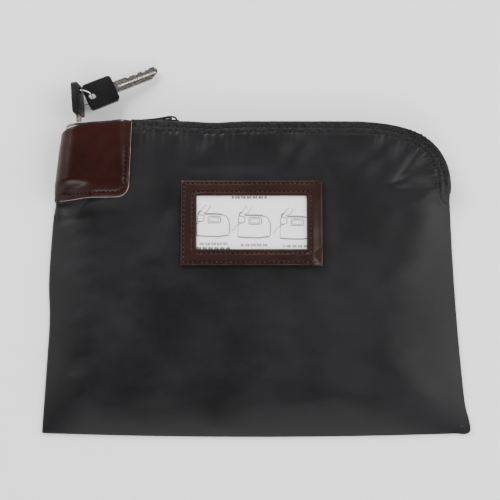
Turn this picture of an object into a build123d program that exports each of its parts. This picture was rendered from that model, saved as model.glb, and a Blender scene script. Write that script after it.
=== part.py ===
from build123d import *

import math
import os

# Locking cash deposit bag, lying on its back. Millimetres.
# The origin is on the underside of the back panel, +X along the zipper, +Y from the
# bottom seam to the zipper, +Z out of the front panel.

# ---- bag ----
LEFT_X, RIGHT_X = -141.2, 141.0
BOTTOM_Y, TOP_Y = -103.0, 106.2
BAG_THICK = 12.6
CLOTH = 1.2
BACK_THICK = 1.4
RIM_Z = 1.6
SEAM_Z = 2.4
SLOPE_WIDE = 28.0
ZIP_SLOPE_WIDE = 18.0
SHOULDER_Z = 20.0
SHOULDER_WIDE = 25.0
SHOULDER_LOW_Y, SHOULDER_FULL_Y, ABOVE_Y = 50.0, 68.0, 108.0
SEAM_TAPE_IN, SEAM_TAPE_OUT = 10.0, 5.0
SEAM_TAPE_TOP_Y = 45.0

# ---- zipper ----
ZIP_Z = 7.0
ZIP_LEFT_X = -66.0
ZIP_END_Y = 70.0
COIL_GAP = 1.0
COIL_WIDE = 1.9
COIL_OUT, COIL_IN = 1.0, 1.2
TAPE_THICK = 0.5
SLIDER_X = -58.2
SLIDER_LONG, SLIDER_WIDE = 11.6, 10.4
PLATE_THICK = 1.2
PULL_LONG, PULL_WIDE, PULL_THICK = 25.0, 7.6, 1.0
PULL_ARM, PULL_ARM_WIDE, PULL_HOLE_IN, PULL_HOLE_R = 6.5, 2.2, 4.5, 1.6
PULL_DROP_DEG = 6.4
PIVOT_OUT = 4.2
BAR_R = 0.7

# ---- card window ----
FRAME_LOW, FRAME_HIGH = (-50.5, 7.0), (44.5, 65.4)
WINDOW_LOW, WINDOW_HIGH = (-39.7, 18.2), (33.7, 54.6)
LEATHER = 1.5
CARD_LONG, CARD_TALL, CARD_THICK = 88.9, 50.8, 0.35
FILM_THICK = 0.2
STACK_GAP = 0.15

# ---- lock, in its own frame: +Y out along the plug, Z = 0 at mid thickness ----
LOCK_AT = (-107.0, 103.6, 11.6)
LOCK_LEAN_DEG = 4.5
CAP_HALF, CAP_R, CAP_THICK = 22.0, 9.3, 1.8
HOUSING_HALF, HOUSING_R, HOUSING_DEEP, WALL = 21.5, 8.9, 38.0, 1.2
COVER_LEFT, COVER_RIGHT, COVER_R = -25.2, 24.2, 11.6
COVER_TOP, COVER_LOW = -0.4, -51.0
COVER_SHEAR = 7.4
KEY_X = -12.8
SHELL_R, PLUG_R, PLUG_GAP = 6.7, 5.2, 0.05
PLUG_DEEP = 27.5
SPRING_X, SPRING_R, SPRING_WIRE, SPRING_TURNS = 3.5, 3.7, 0.8, 9
PIN_X, PIN_R = 14.0, 1.25
FIRST_WAFER_Y = -1.6
WAFERS, WAFER_PITCH, WAFER_THICK = 7, 2.9, 0.8
WAFER_WIDE, WAFER_HIGH = 4.6, 9.2
SHELL_DEEP = 26.0
KEEPER_LOW, KEEPER_HIGH = -7.2, -3.4
DECK_LOW, DECK_HIGH = -8.6, -7.4
PAD_LOW, PAD_HIGH = -36.2, -31.0
SCREW_X, SCREW_R, SCREW_HEAD_R = 17.6, 0.93, 1.8
TRAVEL_X, TRAVEL_Y, TRAVEL_R = -5.35, -14.0, 0.88
POST_R, POST_TOP = 2.6, -12.0
CAM_R, CAM_REACH, CAM_THICK = 4.8, 7.3, 2.0

# ---- keys and ring, in the key's frame: +Y along the key, bow in the Y-Z plane ----
KEY_LEAN_DEG = -10.0
BLADE_WIDE, BLADE_THICK, BLADE_TIP = 8.0, 1.9, -23.0
CUT_DEPTHS = (1.0, 0.5, 1.2, 0.2, 1.4, 0.9, 0.2)
GROOVE_Z, GROOVE_WIDE, GROOVE_DEEP = -0.3, 1.8, 0.5
BOW_NEAR, BOW_FAR, BOW_HALF, BOW_THICK = 9.4, 30.6, 9.4, 3.8
BOW_CORNER_R = 2.3
HOLE_Y, HOLE_R = 26.2, 2.5
RING_R, RING_WIRE, RING_SHIFT = 7.3, 0.55, 1.8
RING_TOP = (25.9, 1.6)
RING_TILT_DEG = 28.0
SPARE_PLAN_DEG, SPARE_PITCH_DEG = 24.6, 7.4

parts = {}


# ---- helpers ----
def prism_y(sketch, low, high):
    """A sketch drawn in X-Z, as a solid from y = low to y = high."""
    return extrude(Plane.XZ.offset(-low) * sketch, -(high - low))


def box(low, high):
    """A box between two corners."""
    size = [b - a for a, b in zip(low, high)]
    middle = [(a + b) / 2 for a, b in zip(low, high)]
    return Pos(*middle) * Box(*size)


def slot_y(left, right, radius, low, high, z=0.0):
    """A prism along Y with a round-ended section from x = left to x = right."""
    sketch = Pos((left + right) / 2, z) * SlotOverall(right - left, 2 * radius)
    return prism_y(sketch, low, high)


def rod_y(x, radius, low, high, z=0.0):
    """A round rod along Y."""
    return prism_y(Pos(x, z) * Circle(radius), low, high)


def rod_z(x, y, radius, low, high):
    """A round rod along Z."""
    return Pos(x, y, (low + high) / 2) * Cylinder(radius, high - low)


def lock_place():
    """The lock's frame in the bag."""
    return Location(LOCK_AT, (0, 0, LOCK_LEAN_DEG))


def key_place():
    """The frame of the key in the lock."""
    return lock_place() * Location((KEY_X, 0, 0), (0, KEY_LEAN_DEG, 0))


# ---- the bag's outline ----
def outline(grow=0.0):
    """The bag seen from the front, grown outward by an amount along its edges."""
    left, right = LEFT_X - grow, RIGHT_X + grow
    low, top = BOTTOM_Y - grow, TOP_Y + grow
    bottom_left = (left, low)
    top_left = (left + 9.7, top)
    corner_start = (60.0, top)
    corner_end = (130.6 + grow, 58.0)
    corner_pull = ((100.0 + 0.4 * grow, top), (131.5 + grow, 98.2 + 0.4 * grow))
    ear = (right, BOTTOM_Y + 4.0)
    ear_foot = (right - 2.6, low - 1.2)
    edges = [
        Line(bottom_left, top_left),
        Line(top_left, corner_start),
        Bezier(corner_start, *corner_pull, corner_end),
        ThreePointArc(corner_end, (132.6 + grow, -21.0), ear),
        Line(ear, ear_foot),
        ThreePointArc(ear_foot, (0.0, low - 2.5), bottom_left),
    ]
    return make_face(Wire(edges))


def band(outside, inside, low, high):
    """The strip between two offsets of the outline, from z = low to z = high."""
    ring = outline(outside) - outline(inside)
    return Pos(0, 0, low) * extrude(ring, high - low)


def zipper_stretch(low, high, extra=0.0):
    """The region that the zipper chain runs through: the top edge and the corner."""
    top = box((ZIP_LEFT_X - extra, 80.0, low), (118.0, 120.0, high))
    side = box((100.0, ZIP_END_Y - extra, low), (150.0, 110.0, high))
    return top + side


def bag_volume(inset):
    """The filled space under the front panel, inset by a thickness."""
    top = BAG_THICK - inset
    rim = SEAM_Z - inset
    left, right = LEFT_X, RIGHT_X
    low_y, high_y = BOTTOM_Y - 3.0, TOP_Y + 1.0
    across = Polyline(
        (left, RIM_Z),
        (left, rim + inset * 0.2),
        (left + SLOPE_WIDE, top),
        (right + 1.0 - ZIP_SLOPE_WIDE, top),
        (right + 1.0, rim + inset * 0.2),
        (right + 1.0, RIM_Z),
        close=True,
    )
    along = Polyline(
        (low_y, RIM_Z),
        (low_y, rim + inset * 0.2),
        (low_y + SLOPE_WIDE, top),
        (high_y, top),
        (high_y, RIM_Z),
        close=True,
    )
    wedge_x = prism_y(make_face(across), low_y, high_y)
    wedge_y = Pos(left, 0, 0) * extrude(Plane.YZ * make_face(along), right + 1.0 - left)
    body = wedge_x & wedge_y
    return (body + shoulder(inset)) & extrude(outline(-inset), SHOULDER_Z + 1.0)


def shoulder(inset):
    """The space where the cloth climbs to the lock's right side."""
    left = LOCK_AT[0] + COVER_RIGHT
    right = left + SHOULDER_WIDE
    high, top = SHOULDER_Z - inset, BAG_THICK - inset
    across = Polyline((left, RIM_Z), (left, high), (right, top), (right, RIM_Z), close=True)
    along = Polyline(
        (SHOULDER_LOW_Y, RIM_Z),
        (SHOULDER_LOW_Y, top),
        (SHOULDER_FULL_Y, high),
        (ABOVE_Y, high),
        (ABOVE_Y, RIM_Z),
        close=True,
    )
    slope_x = prism_y(make_face(across), SHOULDER_LOW_Y, ABOVE_Y)
    slope_y = Pos(left, 0, 0) * extrude(Plane.YZ * make_face(along), right - left)
    return slope_x & slope_y


def lock_room():
    """The space that the lock and its cover take from the two panels."""
    upper = box((-40.0, -43.0, -12.0), (COVER_RIGHT + 0.4, 12.0, 12.0))
    fold = box((-40.0, -54.0, -12.0), (-24.9, -39.0, 12.0))
    return lock_place() * (upper + fold)


def bag_panels():
    """Front and back cloth panels and the tape that binds their seam inside."""
    window = zipper_stretch(ZIP_Z - 4.4, ZIP_Z + 4.2, extra=4.6)
    window = window & band(2.0, -CLOTH - 0.1, ZIP_Z - 4.4, ZIP_Z + 4.2)
    front = bag_volume(0.0) - bag_volume(CLOTH) - window - lock_room()
    parts["front_panel"] = front
    cover_back = box((-40.0, COVER_LOW - 0.4, -12.0), (COVER_RIGHT + 0.4, 12.0, 12.0))
    parts["back_panel"] = extrude(outline(), BACK_THICK) - lock_place() * cover_back
    tape = band(-SEAM_TAPE_OUT, -SEAM_TAPE_IN, BACK_THICK + 0.1, BACK_THICK + 0.6)
    parts["seam_binding"] = tape - box((-150.0, SEAM_TAPE_TOP_Y, 0.0), (150.0, 120.0, 20.0))


# ---- zipper ----
def zipper_chain():
    """Two tapes and two coils along the top edge and round the corner."""
    half = COIL_GAP / 2
    inner = -CLOTH - 0.1
    coils = {
        "back": (ZIP_Z - half - COIL_WIDE, ZIP_Z - half),
        "front": (ZIP_Z + half, ZIP_Z + half + COIL_WIDE),
    }
    tapes = {"back": (RIM_Z + 0.3, ZIP_Z - 0.6), "front": (ZIP_Z + 0.6, BAG_THICK - CLOTH - 0.2)}
    inside = bag_volume(CLOTH + 0.05)
    for side, (low, high) in coils.items():
        parts[f"zip_coil_{side}"] = band(COIL_OUT, -COIL_IN, low, high) & zipper_stretch(low, high)
    for side, (low, high) in tapes.items():
        tape = band(inner, inner - TAPE_THICK, low, high) & zipper_stretch(low, high)
        parts[f"zip_tape_{side}"] = tape & inside


def zipper_stops():
    """Top stops at the lock end, and the box and pin at the far end."""
    left, right = ZIP_LEFT_X - 2.2, ZIP_LEFT_X - 0.2
    stops = []
    for z in (ZIP_Z - 2.2, ZIP_Z + 2.2):
        stops.append(box((left, TOP_Y - 1.1, z - 1.0), (right, TOP_Y + 0.4, z + 1.0)))
    parts["zip_top_stops"] = Compound(children=[Solid(s.solid().wrapped) for s in stops])
    end = band(COIL_OUT + 0.3, -COIL_IN, ZIP_Z - 2.6, ZIP_Z + 2.6)
    parts["zip_bottom_stop"] = end & box((120.0, ZIP_END_Y - 4.2, 0.0), (150.0, ZIP_END_Y - 0.2, 20.0))


def slider_body():
    """Two plates joined by a thin neck between the coils, with a crown for the pull."""
    x0, x1 = SLIDER_X - SLIDER_LONG / 2, SLIDER_X + SLIDER_LONG / 2
    outer_y = TOP_Y + COIL_OUT + 0.4
    inner_y = TOP_Y - CLOTH - 0.1 - TAPE_THICK - 0.4
    half = SLIDER_WIDE / 2
    outer = box((x0, outer_y, ZIP_Z - half), (x1, outer_y + PLATE_THICK, ZIP_Z + half))
    outer = fillet(outer.edges().filter_by(Axis.Y), 2.2)
    inner = box((x0, inner_y - 1.0, ZIP_Z - 3.8), (x1, inner_y, ZIP_Z + 3.8))
    neck = box((x0 + 0.8, inner_y - 0.2, ZIP_Z - 0.15), (x0 + 4.0, outer_y + 0.2, ZIP_Z + 0.15))
    top = outer_y + PLATE_THICK
    arch = Polyline(
        (x0 + 0.6, top - 0.2),
        (x0 + 1.6, top + 3.2),
        (x1 - 1.6, top + 3.2),
        (x1 - 0.8, top - 0.2),
        close=True,
    )
    crown = Pos(0, 0, ZIP_Z - 1.0) * extrude(make_face(arch), 2.0)
    pivot = pull_pivot()
    hole = Pos(pivot[0], pivot[1] - 0.4, ZIP_Z) * Box(4.4, 2.5, 4.0)
    parts["slider_body"] = outer + inner + neck + (crown - hole)


def pull_pivot():
    """The centre of the pull's cross bar under the crown."""
    return (SLIDER_X, TOP_Y + PIVOT_OUT + 0.35, ZIP_Z)


def zip_pull():
    """A flat pull whose cross bar sits under the crown, with the tongue's lock hole."""
    half = PULL_WIDE / 2
    bar = rod_z(0, 0, BAR_R, -half, half)
    thick = PULL_THICK / 2
    lower_arm = box((-PULL_ARM, -thick, -half), (0, thick, -half + PULL_ARM_WIDE))
    upper_arm = box((-PULL_ARM, -thick, half - PULL_ARM_WIDE), (0, thick, half))
    tongue = box((-PULL_LONG, -thick, -half), (-PULL_ARM, thick, half))
    tongue = fillet(tongue.edges().filter_by(Axis.Y).sort_by(Axis.X)[:2], 2.0)
    lock_hole = Pos(-PULL_LONG + PULL_HOLE_IN, 0, 0) * Rot(90, 0, 0) * Cylinder(PULL_HOLE_R, 4.0)
    pull = (bar + lower_arm + upper_arm + tongue) - lock_hole
    parts["zip_pull"] = Location(pull_pivot(), (0, 0, PULL_DROP_DEG)) * pull


# ---- card window ----
def card_window():
    """Leather frame with a pocket that is open on the right, its film and the card."""
    z0 = BAG_THICK + 0.05
    card_z = z0 + STACK_GAP
    film_z = card_z + CARD_THICK + STACK_GAP
    pocket_top = film_z + FILM_THICK
    middle_y = (FRAME_LOW[1] + FRAME_HIGH[1]) / 2
    card_right = FRAME_HIGH[0] - 1.2
    card_left = card_right - CARD_LONG
    frame = box((*FRAME_LOW, z0), (*FRAME_HIGH, pocket_top + LEATHER))
    frame = fillet(frame.edges().filter_by(Axis.Z), 1.5)
    frame -= box((*WINDOW_LOW, z0 - 1), (*WINDOW_HIGH, pocket_top + 4))
    half_tall = CARD_TALL / 2
    pocket_low = (card_left - 0.6, middle_y - half_tall - 0.5, z0 - 1)
    pocket_high = (FRAME_HIGH[0] + 1, middle_y + half_tall + 0.5, pocket_top + 0.02)
    frame -= box(pocket_low, pocket_high)
    parts["window_frame"] = frame
    film_low = (WINDOW_LOW[0] - 3.0, WINDOW_LOW[1] - 3.0, film_z)
    film_high = (WINDOW_HIGH[0] + 3.0, WINDOW_HIGH[1] + 3.0, film_z + FILM_THICK)
    parts["window_film"] = box(film_low, film_high)
    card_low = (card_left, middle_y - half_tall, card_z)
    card_high = (card_right, middle_y + half_tall, card_z + CARD_THICK)
    parts["insert_card"] = box(card_low, card_high)


# ---- lock ----
def cover_section(y, left, right, low, high, inset):
    """A round-ended section of the leather cover at one place along the lock."""
    left, right, low, high = left + inset, right - inset, low + inset, high - inset
    sketch = Pos((left + right) / 2, (low + high) / 2) * SlotOverall(right - left, high - low)
    return Plane.XZ.offset(-y) * sketch


def lock_cover():
    """Leather wrapped round the lock's front, left side and back, thinning down to the cloth."""

    def wrap(inset, ends):
        sides = (COVER_LEFT, COVER_RIGHT)
        top = cover_section(COVER_TOP + ends, *sides, -COVER_R, COVER_R, inset)
        sides = (COVER_LEFT - 0.6 * COVER_SHEAR, COVER_RIGHT)
        middle = cover_section(-39.0, *sides, -COVER_R, COVER_R, inset)
        sides = (COVER_LEFT - COVER_SHEAR, COVER_RIGHT - 0.5 * COVER_SHEAR)
        low = cover_section(COVER_LOW - ends, *sides, -COVER_R, 3.8, inset)
        return loft([top, middle], ruled=True) + loft([middle, low], ruled=True)

    cover = wrap(0.0, 0.0) - wrap(LEATHER, 0.3)
    slot = box((15.0, -60.0, -3.4), (30.0, 5.0, 3.8))
    cloth_way = box((15.0, -60.0, -COVER_R + LEATHER), (30.0, -38.0, 3.8))
    cover = cover - slot - cloth_way
    parts["lock_cover"] = lock_place() * cover.solids().sort_by(SortBy.VOLUME)[-1]


def lock_housing():
    """The cup that the cap sinks into, with its base, screws, deck and guide post."""
    inner_half, inner_r = HOUSING_HALF - WALL, HOUSING_R - WALL
    cup = slot_y(-HOUSING_HALF, HOUSING_HALF, HOUSING_R, -HOUSING_DEEP, -0.3)
    cup -= slot_y(-inner_half, inner_half, inner_r, -HOUSING_DEEP - 1, 1.0)
    cup -= box((16.0, KEEPER_LOW, -4.6), (25.0, KEEPER_HIGH, 4.6))
    ledge = box((KEY_X - 2.5, -26.9, 6.85), (KEY_X + 2.5, -25.2, inner_r + 0.3))
    pads = [box((s * 18.0 - 1.9, PAD_LOW, -3.0), (s * 18.0 + 1.9, PAD_HIGH, 3.0)) for s in (-1, 1)]
    clip = slot_y(-inner_half - 0.3, inner_half + 0.3, inner_r + 0.3, PAD_LOW, PAD_HIGH)
    cup = cup + ledge + (pads[0] & clip) + (pads[1] & clip)
    cup -= rod_z(TRAVEL_X, TRAVEL_Y, TRAVEL_R + 0.02, -8.0, 8.0)
    fit_half, fit_r = inner_half - 0.05, inner_r - 0.05
    base = slot_y(-fit_half, fit_half, fit_r, -HOUSING_DEEP, PAD_LOW - 0.1)
    head_top = -HOUSING_DEEP + 1.0
    screws = []
    for x in (-SCREW_X, SCREW_X):
        cup -= rod_y(x, SCREW_R + 0.02, head_top, -32.0)
        base -= rod_y(x, SCREW_R + 0.17, -HOUSING_DEEP - 1.0, -36.0)
        base -= rod_y(x, SCREW_HEAD_R + 0.1, -HOUSING_DEEP - 1.0, head_top)
        screw = rod_y(x, SCREW_R, head_top, -32.2) + rod_y(x, SCREW_HEAD_R, -HOUSING_DEEP, head_top)
        screws.append(screw - rod_y(x, 0.6, -HOUSING_DEEP - 0.1, head_top - 0.6))
    deck = slot_y(-fit_half, fit_half, fit_r, DECK_LOW, DECK_HIGH)
    for x, radius in ((KEY_X, SHELL_R + 0.3), (SPRING_X, SPRING_R + 0.8), (PIN_X, PIN_R + 0.3)):
        deck -= rod_y(x, radius, DECK_LOW - 0.4, DECK_HIGH + 0.4)
    place = lock_place()
    parts["lock_housing"] = place * cup
    parts["housing_base"] = place * base
    parts["base_screws"] = place * Compound(children=[s.solid() for s in screws])
    parts["slot_deck"] = place * deck.solids().sort_by(SortBy.VOLUME)[-1]
    parts["travel_pin"] = place * rod_z(TRAVEL_X, TRAVEL_Y, TRAVEL_R, -8.0, 8.0)
    parts["spring_post"] = place * rod_y(SPRING_X, POST_R, PAD_LOW - 0.05, POST_TOP)


def popup_spring():
    """The coil spring round the post that lifts the cap when the key is turned."""
    low, high = PAD_LOW + SPRING_WIRE / 2 + 0.05, -0.1 - SPRING_WIRE / 2
    helix = Helix(pitch=(high - low) / SPRING_TURNS, height=high - low, radius=SPRING_R)
    wire = Plane(origin=helix @ 0, z_dir=helix % 0) * Circle(SPRING_WIRE / 2)
    coil = sweep(wire, path=helix, is_frenet=True)
    upright = Location((SPRING_X, low, 0), (-90, 0, 0)) * coil
    parts["popup_spring"] = lock_place() * upright


def lock_cap():
    """The round-ended cap, the barrel shell fixed in it and the locking pin below it."""
    cap = slot_y(-CAP_HALF, CAP_HALF, CAP_R, 0.0, CAP_THICK)
    cap = fillet(cap.edges().filter_by(lambda e: abs((e @ 0.5).Y - CAP_THICK) < 1e-3), 0.7)
    cap -= rod_y(KEY_X, SHELL_R + 0.01, -1.0, 5.0)
    shell = rod_y(KEY_X, SHELL_R, -SHELL_DEEP, CAP_THICK)
    shell -= rod_y(KEY_X, PLUG_R + PLUG_GAP, -SHELL_DEEP - 4.0, CAP_THICK + 3.0)
    groove = box((-6.75, -22.4, -9.0), (-4.0, -12.9, 9.0))
    pin = rod_y(PIN_X, PIN_R, -12.0, 0.0)
    pin = chamfer(pin.edges().sort_by(Axis.Y)[0], 0.5)
    place = lock_place()
    parts["lock_cap"] = place * cap
    parts["barrel_shell"] = place * (shell - groove)
    parts["locking_pin"] = place * pin


def cylinder_plug():
    """The turning plug with its wafers and springs, and the cam screwed on behind it."""
    keyway = Box(BLADE_THICK + 0.5, 60.0, BLADE_WIDE + 0.5)
    plug = rod_y(0, PLUG_R, -PLUG_DEEP, CAP_THICK + 0.2) - (Pos(0, 6.0, 0) * keyway)
    wafers, springs = [], []
    for n in range(WAFERS):
        y = FIRST_WAFER_Y - n * WAFER_PITCH
        plug -= Pos(0, y, 0) * Box(WAFER_WIDE + 0.2, WAFER_THICK + 0.2, 12.0)
        plug -= rod_z(-3.4, y, 0.55, -1.6, 1.6)
        wafer = Pos(0, y, 0) * Box(WAFER_WIDE, WAFER_THICK, WAFER_HIGH)
        wafers.append(wafer - Pos(0, y, 0) * Box(BLADE_THICK + 0.6, 4.0, BLADE_WIDE + 0.3))
        springs.append(rod_z(-3.4, y, 0.45, -1.5, 1.5))
    plug -= rod_y(0, 0.85, -PLUG_DEEP - 1.0, -PLUG_DEEP + 2.4)
    cam_high = -PLUG_DEEP - 0.1
    cam_low = cam_high - CAM_THICK
    cam = rod_y(0, CAM_R, cam_low, cam_high) + box((0, cam_low, -2.0), (CAM_REACH, cam_high, 2.0))
    cam &= rod_y(0, CAM_REACH, cam_low - 1.0, cam_high + 1.0)
    cam -= rod_y(0, 0.95, cam_low - 1.0, cam_high + 1.0)
    screw = rod_y(0, 0.83, cam_low - 0.1, cam_high + 2.0)
    screw += rod_y(0, 1.9, cam_low - 1.2, cam_low - 0.02)
    place = key_place()
    parts["cylinder_plug"] = place * plug
    parts["wafer_tumblers"] = place * Compound(children=[w.solid() for w in wafers])
    parts["wafer_springs"] = place * Compound(children=[s.solid() for s in springs])
    parts["plug_cam"] = place * cam
    parts["cam_screw"] = place * screw


# ---- keys ----
def blade():
    """A cut blade in its key's frame: tip at the low end, notches on the +Z edge."""
    half = BLADE_WIDE / 2
    tang_end = BOW_NEAR + 6.0
    shape = Polyline(
        (BLADE_TIP, 0.8),
        (BLADE_TIP + 2.4, half),
        (tang_end, half),
        (tang_end, -half),
        (BLADE_TIP + 6.4, -half),
        (BLADE_TIP + 1.2, -1.2),
        close=True,
    )
    plate = Pos(-BLADE_THICK / 2, 0, 0) * extrude(Plane.YZ * make_face(shape), BLADE_THICK)
    for n, depth in enumerate(CUT_DEPTHS):
        y = FIRST_WAFER_Y - n * WAFER_PITCH
        notch = Polyline(
            (y - 1.9, half + 0.1),
            (y - 0.8, half - depth),
            (y + 0.8, half - depth),
            (y + 1.9, half + 0.1),
            close=True,
        )
        plate -= Pos(-2, 0, 0) * extrude(Plane.YZ * make_face(notch), 4.0)
    for side in (-1, 1):
        groove = Box(2 * GROOVE_DEEP, BOW_NEAR - BLADE_TIP - 4.0, GROOVE_WIDE)
        plate -= Pos(side * BLADE_THICK / 2, (BLADE_TIP + BOW_NEAR) / 2, GROOVE_Z) * groove
    return plate


def bow():
    """The square moulded grip with a ring hole, round the blade's tang."""
    low, high = (-BOW_THICK / 2, BOW_NEAR, -BOW_HALF), (BOW_THICK / 2, BOW_FAR, BOW_HALF)
    grip = fillet(box(low, high).edges().filter_by(Axis.X), BOW_CORNER_R)
    faces = grip.faces().sort_by(Axis.X)
    grip = chamfer(faces[0].edges() + faces[-1].edges(), 0.5)
    grip -= Pos(0, HOLE_Y, 0) * Rot(0, 90, 0) * Cylinder(HOLE_R, 10.0)
    tang = box((-BLADE_THICK / 2 - 0.02, 0, -BLADE_WIDE / 2 - 0.02),
               (BLADE_THICK / 2 + 0.02, BOW_NEAR + 6.02, BLADE_WIDE / 2 + 0.02))
    return grip - tang


def ring_centre():
    """The ring's centre in the key's frame."""
    tilt = math.radians(RING_TILT_DEG)
    down = math.sqrt(RING_R**2 - RING_SHIFT**2)
    return (RING_SHIFT, RING_TOP[0] - down * math.sin(tilt), RING_TOP[1] - down * math.cos(tilt))


def key_ring():
    """The ring, whose plane holds the key's X axis and leans back towards the lock."""
    ring = Torus(RING_R, RING_WIRE)
    lean = Location(ring_centre(), (90.0 - RING_TILT_DEG, 0, 0))
    return lean * ring


def spare_hole():
    """Where the ring's right side passes through the spare key's hole, in the bag's frame."""
    x, y, z = ring_centre()
    point = key_place() * Location((x + RING_R, y, z))
    return tuple(point.position)


def spare_place():
    """The spare key's frame: its blade points right and a little up, its tip is low."""
    turn = Rot(0, 0, SPARE_PLAN_DEG) * Rot(0, SPARE_PITCH_DEG, 0)
    lay = Rot(0, 0, 90) * Rot(0, 90, 0)
    return Location(spare_hole()) * turn * lay * Location((0, -HOLE_Y, 0))


def keys():
    """The key in the lock, the ring, and the spare key that hangs on it."""
    parts["key_blade"] = key_place() * blade()
    parts["key_bow"] = key_place() * bow()
    parts["key_ring"] = key_place() * key_ring()
    parts["spare_blade"] = spare_place() * blade()
    parts["spare_bow"] = spare_place() * bow()


def report_points():
    """Joint points and axes, for reading beside the model."""
    key_axes = Plane(key_place())
    lock_axes = Plane(lock_place())
    tilt = math.radians(RING_TILT_DEG)
    ring_up = key_axes.y_dir * math.sin(tilt) + key_axes.z_dir * math.cos(tilt)
    top = key_place() * Location((0, *RING_TOP))
    print("lock axis Y", lock_axes.y_dir, "key point", key_place().position)
    print("ring axis X", key_axes.x_dir, "ring top", top.position)
    print("spare axis", ring_up, "spare point", spare_hole())
    print("pull pivot", pull_pivot())


def main():
    bag_panels()
    zipper_chain()
    zipper_stops()
    slider_body()
    zip_pull()
    card_window()
    lock_cover()
    lock_housing()
    popup_spring()
    lock_cap()
    cylinder_plug()
    keys()
    os.makedirs("parts", exist_ok=True)
    for name, shape in parts.items():
        export_step(shape, f"parts/{name}.step")
    report_points()


main()
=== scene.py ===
"""Looks of the locking deposit bag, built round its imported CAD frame. Lengths are in millimetres
until a mesh is made, and +X runs along the zipper, +Y towards it and +Z out of the front panel."""

import math

import bmesh
import bpy
import numpy as np
from mathutils import Matrix, Vector, noise


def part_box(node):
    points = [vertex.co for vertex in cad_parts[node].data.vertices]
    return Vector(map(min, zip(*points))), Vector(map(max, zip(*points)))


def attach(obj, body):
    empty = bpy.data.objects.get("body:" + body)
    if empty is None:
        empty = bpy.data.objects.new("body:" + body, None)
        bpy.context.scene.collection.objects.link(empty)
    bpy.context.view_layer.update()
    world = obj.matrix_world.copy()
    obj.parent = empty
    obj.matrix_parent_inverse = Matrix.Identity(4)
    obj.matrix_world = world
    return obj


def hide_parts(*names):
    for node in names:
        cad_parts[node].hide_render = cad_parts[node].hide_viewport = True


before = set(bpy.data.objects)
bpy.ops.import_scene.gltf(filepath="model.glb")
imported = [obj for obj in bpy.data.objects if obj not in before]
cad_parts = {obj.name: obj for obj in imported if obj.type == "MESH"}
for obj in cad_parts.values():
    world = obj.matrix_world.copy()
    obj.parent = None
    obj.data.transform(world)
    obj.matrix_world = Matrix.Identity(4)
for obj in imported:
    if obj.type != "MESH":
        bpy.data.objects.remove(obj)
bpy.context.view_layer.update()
MM = 0.001

# ---- bag: its outline from above, and heights over the surface that it lies on ----
LEFT_X, RIGHT_X = -141.2, 141.0
BOTTOM_Y, TOP_Y = -103.0, 106.2
TOP_LEFT_X = LEFT_X + 9.7
HEM_Y = TOP_Y + 1.3  # the folded edge of the cloth, a little past the zipper tape
CORNER = ((60.0, HEM_Y), (100.6, HEM_Y), (133.0, 99.4), (131.2, 58.0))  # a cubic curve
STRAIGHT_END_X = 59.0
EAR_X, SIDE_X = 133.5, 139.2  # where the turned lower right corner starts and ends
LOW_SAG, LEFT_BULGE, RIGHT_HOLLOW = 2.5, 2.8, 1.6
SEAM_Z = 1.5
CLOTH_TOP = 11.9
CLOTH_THICK = 0.5
LEFT_FALL, LOW_FALL, RIGHT_FALL, CORNER_FALL = 28.0, 38.0, 52.0, 27.0  # widths of the slopes

# Soft ridges in the front cloth: start, end, width and height.
CREASES = (
    ((122.0, 72.0), (56.0, 30.0), 9.0, 1.8),
    ((96.0, 98.0), (60.0, 62.0), 8.5, 1.9),
    ((114.0, 88.0), (84.0, 44.0), 6.5, 1.3),
    ((40.0, 99.0), (14.0, 70.0), 8.0, 1.5),
    ((-12.0, 100.0), (-48.0, 74.0), 7.0, 1.4),
    ((-134.0, -95.0), (-60.0, -20.0), 13.0, 1.1),
    ((134.0, -96.0), (50.0, -24.0), 13.0, 1.5),
    ((118.0, -84.0), (10.0, -70.0), 10.0, 1.1),
    ((-78.0, 36.0), (-20.0, -40.0), 13.0, 1.1),
    ((-90.0, -80.0), (0.0, -64.0), 10.0, 0.8),
    ((128.0, 24.0), (60.0, -20.0), 11.0, 1.2),
    ((30.0, 0.0), (-20.0, -54.0), 12.0, 0.8),
)

# ---- zipper ----
ZIP_Z = 7.0
ZIP_LEFT_X = -66.0
ZIP_END_Y = 68.0
LIP_OVER, LIP_UNDER = 3.4, 3.5  # from the zipper's middle to the hems' inner lips
COIL_PITCH, COIL_SINK, COIL_WIRE_R = 2.1, 1.25, 0.36
SLIDER_OUT, SLIDER_HALF = 1.4, 5.2
CROWN_R = 0.62
PIVOT = (-58.2, TOP_Y + 4.55, ZIP_Z)
PULL_LEAN = math.radians(6.4)
PULL_HALF, PULL_THICK = 3.8, 1.0
PULL_END, PIN_HOLE_X, PIN_HOLE_R = -22.5, -20.5, 1.6

# ---- lock and its cover: where the lock's own frame sits, then sizes in that frame ----
LOCK_AT = (-107.0, 103.6, 11.6)
LOCK_LEAN = math.radians(4.5)
COVER_LEFT, COVER_RIGHT, COVER_R, COVER_THICK = -25.2, 23.2, 11.6, 1.3
COVER_TOP, COVER_LOW = -0.5, -51.0
COVER_SHEAR_LEFT, COVER_SHEAR_RIGHT = 8.2, 5.6
COVER_CORNER_R = 9.0
BACK_SHARE, FOLD_SHARE, FRONT_SHARE = 0.30, 0.22, 0.48  # of the wrapped sheet's width
COVER_STITCH_INSET, COVER_STITCH_START = 3.3, COVER_TOP - 18.0
HOUSING_END_X, HOUSING_REAR = 12.6, -38.0
POCKET_R, POCKET_END = 9.5, -63.0  # the cloth's rounding over the lock, and where it ends
POCKET_SLOPE = math.radians(17.0)
TUCK_REACH = 16.0
KEY_X = -12.8
KEY_LEAN = math.radians(-10.0)

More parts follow.
